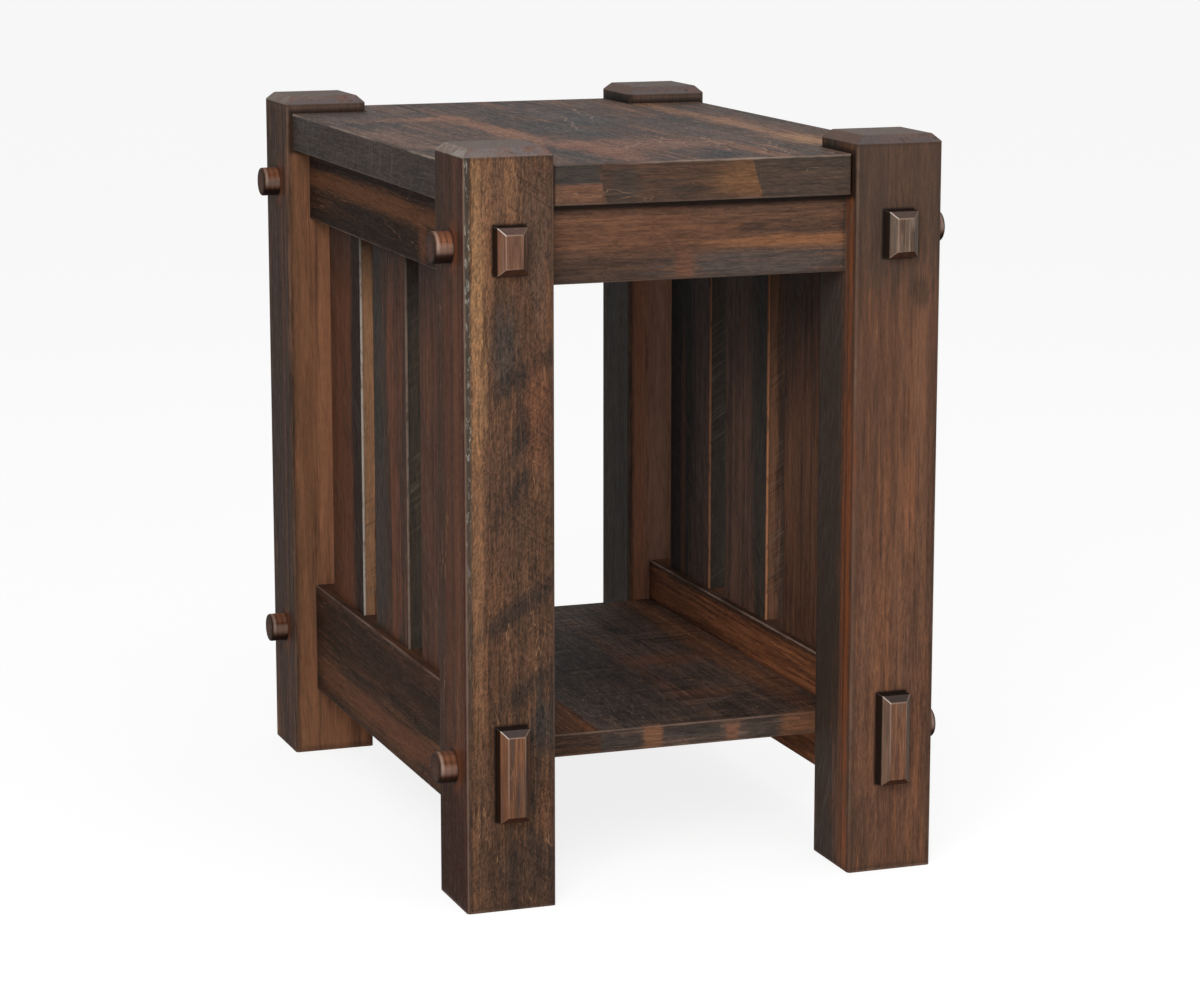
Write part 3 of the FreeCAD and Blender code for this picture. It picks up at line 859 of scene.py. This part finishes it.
RAIL_SPOTS = {
    "upper_left": [
        spot((0, 0.4, 0.16), (0.1, 0.6, 0.3), (34, 25, 19), 0.8, 0.4),
        spot((0, 0.5, 0.62), (0.1, 0.5, 0.14), (106, 68, 44), 0.6),
        spot((0, 0.3, 0.3), (0.1, 0.02, 0.3), RUSSET, 0.5),
    ],
    "upper_right": [],
    "lower_left": [
        spot((0, 0.45, 0.22), (0.1, 0.4, 0.12), RUSSET, 0.6),
        spot((0, 0.5, 0.75), (0.1, 0.5, 0.25), (38, 27, 20), 0.7),
    ],
    "lower_right": [
        spot((0, 0.84, 0.70), (0.1, 0.24, 0.4), (74, 51, 40), 0.6, 0.7),
        spot((0, 0.5, 1.0), (0.1, 0.7, 0.06), (66, 47, 37), 0.85, 0.4, wobble=0.9),
        # Painted shade where the shelf meets the inner face
        spot((0, 0.5, 0.62), (0.1, 0.7, 0.025), (56, 36, 26), 0.6, 0.5, wobble=0.6),
    ],
}


def finish_side_rails():
    for name, stain in RAIL_STAINS.items():
        level, side = name.split("_")
        piece = Wood(f"side_rail_{name}", "Y")
        tree = piece.tree
        y = tree.absolute(tree.split(piece.position)[1])
        on_tenon = tree.step(y, OUTER_Y - 0.002, OUTER_Y - 0.001)
        piece.turn_grain(on_tenon, "Z")
        piece.stain(*stain)
        piece.patches(RAIL_SPOTS[name])
        end_tone, light_stripe, dark_stripe, strength, upper_bevel_sheen = TENON_TONES[name]
        piece.cover(on_tenon, end_tone, 0.75)
        bands = tree.noise(piece.position, (330, 330, 12), 4, 0.7)
        light_band = tree.times(tree.step(bands, 0.52, 0.60), on_tenon)
        dark_band = tree.times(tree.step(bands, 0.48, 0.40), on_tenon)
        piece.cover(light_band, light_stripe, strength)
        piece.cover(dark_band, dark_stripe, strength)
        rough = 0.9 if side == "left" else 2.2
        hairs = tree.step(on_tenon, 0.0, 1.0, rough * 0.2, 0.12)
        piece.grain(tree.step(on_tenon, 0.0, 1.0, rough, 3.2), hairs, 0.1, 0.16)
        if side == "right":
            piece.cover(piece.facing("Z", 1), (56, 43, 36), 0.8)
        if name == "lower_right":
            piece.cover(piece.facing("X", 1), (62, 42, 32), 0.78)
        if level == "lower":
            piece.strands((30, 30, 7), (112, 82, 64), 0.006, 0.45, 0.5)
        elif side == "left":
            piece.strands((30, 30, 3), (118, 84, 64), 0.006, 0.45, 0.5)
        body_low = Vector((piece.low.x, -INNER_Y, piece.low.z))
        body_high = Vector((piece.high.x, INNER_Y, piece.high.z))
        # The arris line: partly wear and partly painted highlight
        arris_highlight = (156, 130, 116) if side == "right" else (124, 100, 88)
        piece.edges(0.7, 0.0016, (body_low, body_high), 0.35, arris_highlight)
        middle, half = tenon_middle_and_half(level)
        if side == "right":
            middle.x = POST_MIDDLE_X
        tenon_end(piece, middle, half, on_tenon, side, upper_bevel_sheen)
        piece.finish(0.66, gloss=0.02)


def finish_aprons():
    for end, face in (("front", 0), ("back", 1)):
        piece = Wood(f"apron_{end}", "X")
        piece.stain((70, 52, 43), (94, 69, 55), (120, 82, 58), 0.6, 0.25)
        piece.patches(
            [
                spot((0.3, face, 0.55), (0.3, 0.2, 0.28), (101, 68, 50), 0.55),
                spot((0.8, face, 0.42), (0.25, 0.2, 0.09), (128, 86, 58), 0.7),
                spot((0.2, face, 0.12), (0.3, 0.2, 0.26), CHAR_AND_SHADE, 0.65),
                spot((0.72, face, 0.14), (0.3, 0.2, 0.22), (62, 60, 59), 0.7),
                spot((0.46, face, 0.16), (0.03, 0.2, 0.2), RUSSET, 0.5),
                spot((0.66, face, 0.62), (0.04, 0.2, 0.05), CHAR_AND_SHADE, 0.6),
            ]
        )
        piece.grain(1.5, 0.5, 0.1)
        height = piece.tree.split(piece.position)[2]
        # Painted shadow of the top's overhang along the apron's upper edge
        shadow_under_top = piece.tree.step(height, piece.high.z - 0.009, piece.high.z - 0.003)
        piece.cover(shadow_under_top, (14, 11, 10), 0.88)
        low = Vector((-INNER_X, piece.low.y, piece.low.z))
        high = Vector((INNER_X, piece.high.y, piece.high.z))
        piece.edges(0.35, 0.0012, (low, high))
        piece.finish()


# The colours of each slat by name, as for the posts
SLAT_STAINS = {
    "left_1": ((61, 39, 30), (84, 53, 39), (102, 63, 44), 0.5, 0.15),
    "left_2": ((54, 38, 30), (87, 53, 38), (120, 70, 45), 0.5, 0.45),
    "left_3": ((58, 36, 25), (88, 54, 36), (112, 68, 43), 0.5, 0.15),
    "right_1": ((76, 53, 42), (106, 73, 55), (128, 83, 59), 0.6, 0.2),
    "right_2": ((82, 62, 53), (116, 85, 70), (137, 96, 72), 0.4, 0.2),
    "right_3": ((54, 40, 34), (84, 62, 54), (92, 62, 48), 0.3, 0.3),
}


def whole_edge(colour, strength):
    """A tone over the whole of a slat's front edge."""
    return spot((0.5, 0, 0.5), (0.8, 0.012, 0.9), colour, strength, 0.2, wobble=0.6)


def left_of_edge(colour, strength):
    """A tone over the left part of a slat's front edge."""
    return spot((0.28, 0, 0.5), (0.36, 0.02, 0.9), colour, strength, 0.2, wobble=0.6)


# The marks on each slat's left face and the tone of its front edge; the near black marks on left_3 and
# right_3 are painted shade
SLAT_SPOTS = {
    "left_1": [whole_edge(UMBER, 0.5)],
    "left_2": [
        spot((0, 0.86, 0.5), (0.3, 0.22, 0.7), (48, 45, 40), 0.8, 0.4),
        whole_edge((56, 54, 48), 0.8),
    ],
    "left_3": [
        spot((0, 0.5, 0.5), (0.3, 0.6, 0.7), (84, 46, 28), 0.5, 0.4),
        # Painted shade near the front of the left face
        spot((0, 0.10, 0.5), (0.3, 0.22, 0.7), (26, 18, 13), 0.92, 0.3, wobble=0.6),
        left_of_edge((150, 111, 82), 0.78),
    ],
    "right_1": [whole_edge((112, 80, 58), 0.7)],
    "right_2": [
        spot((0, 0.16, 0.5), (0.3, 0.2, 0.7), (54, 52, 46), 0.85, 0.3),
        left_of_edge((108, 74, 54), 0.75),
        spot((0.78, 0, 0.5), (0.3, 0.02, 0.9), (48, 38, 33), 0.7, wobble=1.5),
    ],
    "right_3": [
        # Painted shadow over the back of the left face
        spot((0, 0.76, 0.5), (0.3, 0.34, 0.7), (17, 11, 8), 0.95, 0.25, wobble=0.7),
        spot((0, 0.66, 0.28), (0.3, 0.06, 0.36), (84, 50, 32), 0.6, 0.4, wobble=0.7),
        whole_edge((54, 51, 46), 0.85),
    ],
}

# The tone of the pale line down a slat's front left corner, a painted highlight
CORNER_HIGHLIGHT_TONE = (122, 104, 92)

# The slats where that line has a tone of its own
SLAT_CORNER_HIGHLIGHT_TONES = {
    "left_3": (168, 160, 150),
    "right_2": (186, 126, 90),
    "right_3": (160, 108, 78),
}


def corner_highlight(piece, colour, strength):
    """The pale line along a slat's front left corner, a painted highlight, broken here and there."""
    tree = piece.tree
    x, y, _ = tree.split(piece.position)
    off_corner = tree.larger(tree.minus(x, piece.low.x), tree.minus(y, piece.low.y))
    flakes = tree.noise(piece.along, (200, 200, 60), 4, 0.7)
    broken = tree.step(flakes, 0.36, 0.5, 0.3, 1.0)
    piece.cover(tree.times(tree.step(off_corner, 0.0022, 0.0011), broken), colour, strength)


def finish_slats():
    past_ends = Vector((0, 0, 0.02))
    for name, stain in SLAT_STAINS.items():
        piece = Wood(f"slat_{name}")
        tree = piece.tree
        piece.stain(*stain)
        piece.patches(SLAT_SPOTS[name])
        piece.grain(1.3, 0.34, 0.04, 0.06)
        broad_faces = piece.facing("X")
        edges = tree.minus(1.0, broad_faces)
        piece.saw("X", -38, 0.004, 0.5, 0.4, SOOT_AND_SHADOW, broad_faces)
        piece.saw("X", -41, 0.0045, 0.46, 0.3, (96, 82, 72), broad_faces)
        piece.saw("Y", -60, 0.0022, 0.5, 0.45, SOOT_AND_SHADOW, edges)
        piece.saw("Y", -57, 0.0026, 0.5, 0.35, (112, 100, 88), edges)
        piece.edges(0.6, 0.001, (piece.low - past_ends, piece.high + past_ends))
        corner_highlight(piece, SLAT_CORNER_HIGHLIGHT_TONES.get(name, CORNER_HIGHLIGHT_TONE), 0.8)
        # Painted shade under the rail, fading down from the slat's top
        fall = 0.20 if name.startswith("right") else 0.10
        height = tree.split(piece.position)[2]
        shade_under_rail = tree.step(height, piece.high.z - fall, piece.high.z - 0.01)
        piece.cover(shade_under_rail, (22, 17, 14), 0.66)
        piece.finish()


def end_patches(piece, ends):
    """The slanted pieces of other wood that show along the front and back edges of the top."""
    tree = piece.tree
    x, _, z = tree.split(piece.position)
    wobble = piece.wobble
    drop = tree.math("DIVIDE", tree.minus(piece.high.z, z), piece.high.z - piece.low.z)
    slanted = tree.plus(tree.times_plus(drop, -0.010, x), tree.times(wobble, 0.0012))
    waved = tree.times_plus(wobble, 0.09, drop)
    off_middle = tree.absolute(tree.minus(waved, 0.55))
    tip = tree.times_plus(wobble, -0.012, tree.minus(x, tree.times(off_middle, 0.044)))

    def left_of(seam):
        return tree.step(slanted, seam + SEAM_BLUR, seam - SEAM_BLUR)

    left = left_of(LEFT_SEAM)
    right = tree.step(slanted, RIGHT_SEAM - SEAM_BLUR, RIGHT_SEAM + SEAM_BLUR)
    wedge = tree.times(tree.step(tip, -0.022, 0.026), left_of(RIGHT_SEAM))
    middle = tree.minus(1.0, tree.larger(left, right))
    zones = (
        (middle, (60, 47, 37), 0.52),
        (tree.times(left, tree.step(waved, 0.52, 0.42)), (52, 48, 44), 0.85),
        (tree.times(left, tree.step(waved, 0.46, 0.58)), (96, 66, 48), 0.62),
        (wedge, (104, 73, 49), 0.66),
        (right, (60, 51, 44), 0.72),
    )
    for zone, colour, strength in zones:
        piece.cover(tree.times(zone, ends), colour, strength)


# Where the cracks in the top run, as shares of its width and depth
TOP_CRACKS = (
    ((0.565, 0.72), (0.47, 0.44)),
    ((0.525, 0.29), (0.41, 0.15)),
    ((0.684, 0.335), (0.61, 0.08)),
    ((0.768, 0.23), (0.69, 0.01)),
    ((0.602, 0.36), (0.545, 0.23)),
    ((0.72, 0.17), (0.65, 0.03)),
    ((0.655, 0.85), (0.60, 0.62)),
)

# The colours of the top's boards, as for the posts
TOP_STAINS = {
    "left": ((58, 48, 43), (98, 75, 64), (124, 84, 66), 0.6, 0.5),
    "middle": ((50, 42, 38), (92, 68, 57), (120, 80, 61), 0.6, 0.6),
    "right": ((54, 45, 40), (96, 71, 59), (138, 92, 66), 0.6, 0.5),
}

TOP_SPOTS = [
    spot((0, 0.5, 0.5), (0.008, 0.6, 1.2), (43, 35, 30), 0.85, 0.2, wobble=0.2),
    spot((0.20, 0.72, 1), (0.14, 0.035, 0.3), (134, 92, 72), 0.5),
    spot((0.31, 0.50, 1), (0.035, 0.26, 0.3), (138, 96, 74), 0.65),
    spot((0.08, 0.80, 1), (0.10, 0.12, 0.3), (58, 54, 52), 0.6),
    spot((0.58, 0.66, 1), (0.07, 0.16, 0.3), (56, 54, 54), 0.75),
    spot((0.46, 0.47, 1), (0.06, 0.12, 0.3), (58, 54, 52), 0.6),
    spot((0.52, 0.24, 1), (0.13, 0.08, 0.3), (120, 84, 68), 0.5),
    spot((0.70, 0.40, 1), (0.06, 0.22, 0.3), (60, 54, 52), 0.55),
    spot((0.855, 0.56, 1), (0.026, 0.36, 0.3), (146, 106, 80), 0.62, 0.7, wobble=1.9),
    spot((0.86, 0.22, 1), (0.036, 0.08, 0.3), (156, 118, 86), 0.62, 0.7, wobble=2.0),
    spot((0.95, 0.5, 1), (0.03, 0.5, 0.3), (54, 48, 45), 0.55),
    spot((0.37, 0.17, 1), (0.05, 0.16, 0.3), (136, 90, 70), 0.5),
    spot((0.33, 0, 0.5), (0.03, 0.01, 0.4), (56, 52, 50), 0.85),
    spot((0.515, 0, 0.65), (0.03, 0.01, 0.2), (58, 46, 40), 0.8),
]


def finish_top():
    for board, stain in TOP_STAINS.items():
        piece = Wood(f"top_board_{board}", "Y", (TOP_LOW, TOP_HIGH))
        tree = piece.tree
        upper = piece.facing("Z", 1)
        ends = piece.facing("Y")
        left_side = piece.facing("X", -1)
        piece.turn_grain(ends, "X")
        piece.stain(*stain, (44, 41, 40))
        piece.patches(TOP_SPOTS)
        end_patches(piece, ends)
        piece.grain(1.4, tree.step(piece.facing("X"), 0.0, 1.0, 0.5, 0.16), 0.1)
        piece.saw("Z", 84, 0.006, 0.5, 0.4, (40, 36, 34), upper)
        x, y, z = tree.split(piece.position)
        near_front = tree.times(tree.step(y, 0.10, -0.06), tree.step(x, -0.10, 0.0))
        clear = tree.times(upper, tree.step(near_front, 0.0, 1.0, 0.35, 1.0))
        piece.strands((16, 16, 11), (164, 128, 108), 0.0075, 0.47, 0.6, clear)
        for start, end in TOP_CRACKS:
            piece.crack(start, end, (162, 130, 110), 0.6)
        piece.strands((36, 36, 10), (136, 106, 82), 0.009, 0.46, 0.45, ends)
        piece.saw("X", 78, 0.004, 0.52, 0.3, (108, 98, 90), left_side)
        piece.saw("X", 70, 0.006, 0.52, 0.4, (28, 24, 22), left_side)
        # Stronger arris lines near the top face, partly wear and partly painted highlight
        top_arris_highlight = tree.step(z, piece.high.z - 0.010, piece.high.z - 0.004, 0.3, 1.0)
        piece.edges(0.8, 0.0017, None, 0.25, (138, 120, 108), top_arris_highlight)
        piece.finish(0.6, gloss=0.06)


def shelf_specks(piece):
    """Small pale chips in the dark stain, near the front of the middle board."""
    tree = piece.tree
    near = tree.vector("SUBTRACT", piece.position, (-0.034, -0.160, piece.high.z))
    reach = tree.vector("LENGTH", tree.vector("DIVIDE", near, (0.05, 0.10, 0.01)))
    chips = tree.noise(piece.position, (330, 150, 330), 5, 0.75)
    here = tree.times(tree.step(chips, 0.56, 0.66), tree.step(reach, 1.2, 0.2))
    piece.cover(here, (158, 138, 122), 0.6)


# The colours of the shelf's boards, as for the posts
SHELF_STAINS = {
    "left": ((66, 40, 24), (106, 63, 35), (134, 84, 46), 0.6, 0.1),
    "middle": ((66, 56, 51), (98, 80, 71), (122, 90, 73), 0.4, 0.4),
    "right": ((66, 56, 51), (98, 79, 70), (126, 92, 73), 0.4, 0.4),
}

# The turn of the line that runs slanting over the shelf
SLANT = (0, 0, math.radians(32))

SHELF_SPOTS = [
    spot((0.91, 0.5, 1), (0.05, 0.6, 0.3), (118, 74, 48), 0.55),
    spot((0.915, 0.5, 1), (0.005, 0.5, 0.3), (140, 96, 66), 0.6, 0.6, wobble=0.5),
    spot((0.63, 0.45, 1), (0.02, 0.4, 0.3), (116, 74, 54), 0.45),
    spot((0.653, 0.5, 1), (0.004, 0.5, 0.3), (136, 98, 76), 0.55, 0.6, wobble=0.5),
    spot((0.71, 0.14, 1), (0.2, 0.004, 0.3), (112, 106, 102), 0.45, 0.6, SLANT, wobble=0.5),
    spot((0.73, 0.48, 1), (0.10, 0.035, 0.3), (126, 76, 48), 0.5, 0.8, wobble=2.0),
    spot((0.71, 0.20, 1), (0.10, 0.035, 0.3), (120, 74, 50), 0.45, 0.8, wobble=2.0),
    # Broad painted shade over the middle of the shelf and along its front
    spot((0.46, 0.40, 1), (0.17, 0.5, 0.3), (37, 33, 31), 0.62, 0.6),
    spot((0.72, 0.08, 1), (0.3, 0.12, 0.3), (42, 34, 29), 0.48, 0.6),
    spot((0.70, 0.33, 1), (0.12, 0.08, 0.3), (46, 40, 37), 0.4),
    spot((0.70, 0.68, 1), (0.12, 0.12, 0.3), (46, 40, 37), 0.2),
    # Painted shadow beside the front left post
    spot((0.13, 0.08, 1), (0.09, 0.16, 0.3), (46, 29, 18), 0.75, 0.7),
    spot((0.445, 0, 0.5), (0.028, 0.012, 0.9), (130, 88, 60), 0.62, 0.3, square=1, wobble=1.0),
    spot((0.67, 0, 0.35), (0.018, 0.012, 0.5), (118, 77, 55), 0.62, 0.4, square=1),
    spot((0.90, 0, 0.5), (0.095, 0.012, 0.9), (118, 78, 54), 0.66, 0.12, square=1, wobble=0.5),
    spot((0.25, 0, 0.5), (0.15, 0.012, 0.6), (52, 46, 42), 0.7),
    spot((0.59, 0, 0.5), (0.05, 0.012, 0.6), (54, 48, 43), 0.65),
    spot((0.76, 0, 0.5), (0.05, 0.012, 0.6), (54, 48, 43), 0.65),
]


def finish_shelf():
    for board, stain in SHELF_STAINS.items():
        piece = Wood(f"shelf_board_{board}", "Y", panel_box("shelf"))
        upper = piece.facing("Z", 1)
        piece.turn_grain(piece.facing("Y"), "X")
        piece.stain(*stain)
        piece.patches(SHELF_SPOTS)
        piece.grain(2.0, 0.6, 0.1)
        if board != "left":
            piece.saw("Z", 86, 0.0065, 0.58, 0.7, SOOT_AND_SHADOW, upper)
            piece.saw("Z", 86, 0.009, 0.52, 0.35, (122, 96, 82), upper)
            piece.strands((26, 26, 20), (160, 122, 94), 0.005, 0.46, 0.6, upper)
            shelf_specks(piece)
        piece.edges(0.7, 0.0015, None, 0.3, (124, 100, 86))
        piece.finish()


def finish_pegs():
    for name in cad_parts:
        if not name.startswith("peg_"):
            continue
        piece = Wood(name, "X")
        tree = piece.tree
        on_right = name.endswith("right")
        piece.stain((76, 46, 33), (116, 72, 50), (140, 88, 60), 0.6, 0.1)
        end = (int(on_right), 0.5)
        piece.patches(
            [
                spot((*end, 0.5), (0.03, 0.6, 0.6), (38, 29, 25), 0.9, 0.2, wobble=0.2),
                spot((*end, 0.45), (0.03, 0.28, 0.28), (92, 56, 42), 0.5, 0.6),
            ]
        )
        x = tree.split(piece.position)[0]
        to_x, to_y, to_z = tree.split(piece.normal)
        from_end = tree.absolute(tree.minus(x, piece.high.x if on_right else piece.low.x))
        rings = tree.step(tree.math("SINE", tree.times_plus(from_end, PEG_RINGS, 0.4)), 0.1, 0.9)
        piece.cover(rings, (56, 34, 25), 0.6)
        piece.grain(0.7, 0.1, 0.0, 0.0)
        side_face = tree.step(tree.absolute(to_x), 0.6, 0.3)
        # A dark band behind the rim, painted shade of a rounder rim
        piece.cover(tree.times(tree.step(from_end, 0.0030, 0.0020), side_face), CHAR_AND_SHADE, 0.7)
        # A pale crest beyond it, a painted highlight on that rim where it faces up
        rim_highlight = tree.times(tree.step(from_end, 0.0012, 0.0024), side_face)
        rim_highlight = tree.times(rim_highlight, tree.step(from_end, 0.0048, 0.0032))
        rim_highlight = tree.times(rim_highlight, tree.step(to_z, -0.45, 0.25))
        piece.cover(rim_highlight, (158, 138, 126), 0.62)
        # A painted reflection down the front of the side
        glint = tree.times(tree.step(to_y, -0.88, -0.995), side_face)
        piece.cover(glint, (158, 136, 124), 0.3)
        # The upper side painted lighter and the underside dark, as light and shade from above
        piece.cover(tree.step(to_z, 0.3, 0.9), (132, 94, 74), 0.2)
        piece.cover(tree.step(to_z, 0.0, -0.65), (20, 13, 10), 0.9)
        piece.finish(0.6)


def finish_buttons():
    """The wooden buttons under the top, left in the bare wood."""
    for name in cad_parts:
        if name.startswith("top_button_"):
            piece = Wood(name, "X")
            bare = ((120, 92, 64), (156, 124, 88), (176, 142, 102))
            piece.stain(*bare, 0.5, 0.1, UMBER)
            piece.grain(0.8, 0.25, 0.05, 0.12)
            piece.edges(0.3, 0.0008)
            piece.finish(0.65)


def finish_screws():
    """Bright steel, brushed round by the tool that cut the heads."""
    material, tree = new_material("screw_steel")
    position = tree.node("ShaderNodeTexCoord", {}).outputs["Object"]
    brushed = tree.noise(position, (900, 900, 6000), 3)
    tree.surface(
        {
            "Base Color": tree.mix(brushed, (120, 118, 114), (190, 188, 184)),
            "Metallic": 1.0,
            "Roughness": tree.step(brushed, 0.3, 0.7, 0.25, 0.45),
            "Normal": tree.bump(brushed, 0.2, 0.0002),
        },
    )
    give("button_screws", material)


finish_posts()
finish_side_rails()
finish_aprons()
finish_slats()
finish_top()
finish_shelf()
finish_pegs()
finish_buttons()
finish_screws()

# How brightly the floor glows where the camera sees it, and the share of that glow in its look
FLOOR_GLOW = 1.15
FLOOR_GLOW_SHARE = 0.72

# How brightly the surroundings light the table, against 1 where the camera sees them
SKY_LIGHT = 0.45


def seen(tree):
    """One for what the camera sees, straight, mirrored or through glass."""
    path = tree.node("ShaderNodeLightPath", {}).outputs
    mirrored = tree.larger(path["Is Camera Ray"], path["Is Glossy Ray"])
    return tree.larger(mirrored, path["Is Transmission Ray"])


def stage_material():
    """A pale floor that the camera sees near white, with the table's soft shadow on it."""
    material, tree = new_material("pale_floor")
    matt = tree.node("ShaderNodeBsdfDiffuse", {"Color": (0.8, 0.8, 0.8, 1)}).outputs[0]
    white = tree.node("ShaderNodeEmission", {"Color": (1, 1, 1, 1), "Strength": FLOOR_GLOW}).outputs[0]
    share = tree.times(seen(tree), FLOOR_GLOW_SHARE)
    both = tree.node("ShaderNodeMixShader", {0: share, 1: matt, 2: white}).outputs[0]
    tree.node("ShaderNodeOutputMaterial", {"Surface": both})
    return material


def add_stage():
    """A wide floor under the table."""
    mesh = bpy.data.meshes.new("floor")
    made = bmesh.new()
    bmesh.ops.create_grid(made, x_segments=1, y_segments=1, size=30)
    made.to_mesh(mesh)
    made.free()
    floor = bpy.data.objects.new("floor", mesh)
    floor.data.materials.append(stage_material())
    bpy.context.scene.collection.objects.link(floor)


def add_world():
    """Even light from all sides, behind which the camera sees white."""
    world = bpy.data.worlds.new("studio")
    world.use_nodes = True
    tree = Tree(world.node_tree)
    strength = tree.node("ShaderNodeMix", {0: seen(tree), 2: SKY_LIGHT, 3: 1.0}).outputs[0]
    background = tree.node("ShaderNodeBackground", {"Color": (1, 1, 1, 1), "Strength": strength})
    tree.node("ShaderNodeOutputWorld", {"Surface": background.outputs[0]})
    bpy.context.scene.world = world


def add_light(name, place, target, size, power):
    """A square lamp that is aimed at a point."""
    light = bpy.data.lights.new(name, "AREA")
    light.shape = "SQUARE"
    light.size = size
    light.energy = power
    lamp = bpy.data.objects.new(name, light)
    lamp.location = place
    aim = Vector(target) - Vector(place)
    lamp.rotation_euler = aim.to_track_quat("-Z", "Y").to_euler()
    bpy.context.scene.collection.objects.link(lamp)


CAMERA_PLACE = (-1.0424, -2.9384, 0.8849)
CAMERA_YAW = 19.84
CAMERA_PITCH = 11.09
CAMERA_LENS = 106.26


def add_camera():
    """Looks at the table from the front left, from a little above its top."""
    data = bpy.data.cameras.new("camera")
    data.lens = CAMERA_LENS
    data.sensor_width = 36.0
    camera = bpy.data.objects.new("camera", data)
    camera.location = CAMERA_PLACE
    camera.rotation_euler = (
        math.radians(90 - CAMERA_PITCH),
        0,
        math.radians(-CAMERA_YAW),
    )
    bpy.context.scene.collection.objects.link(camera)
    bpy.context.scene.camera = camera


add_stage()
add_world()
add_light("overhead", (0.3, -0.9, 2.4), (0, 0, 0.4), 2.0, 15)
add_light("key", (-1.5, -2.5, 1.9), (0, 0, 0.3), 1.4, 52)
add_light("front", (0.2, -3.4, 0.6), (0, 0, 0.3), 1.8, 30)
add_camera()
bpy.context.scene.view_settings.view_transform = "Standard"
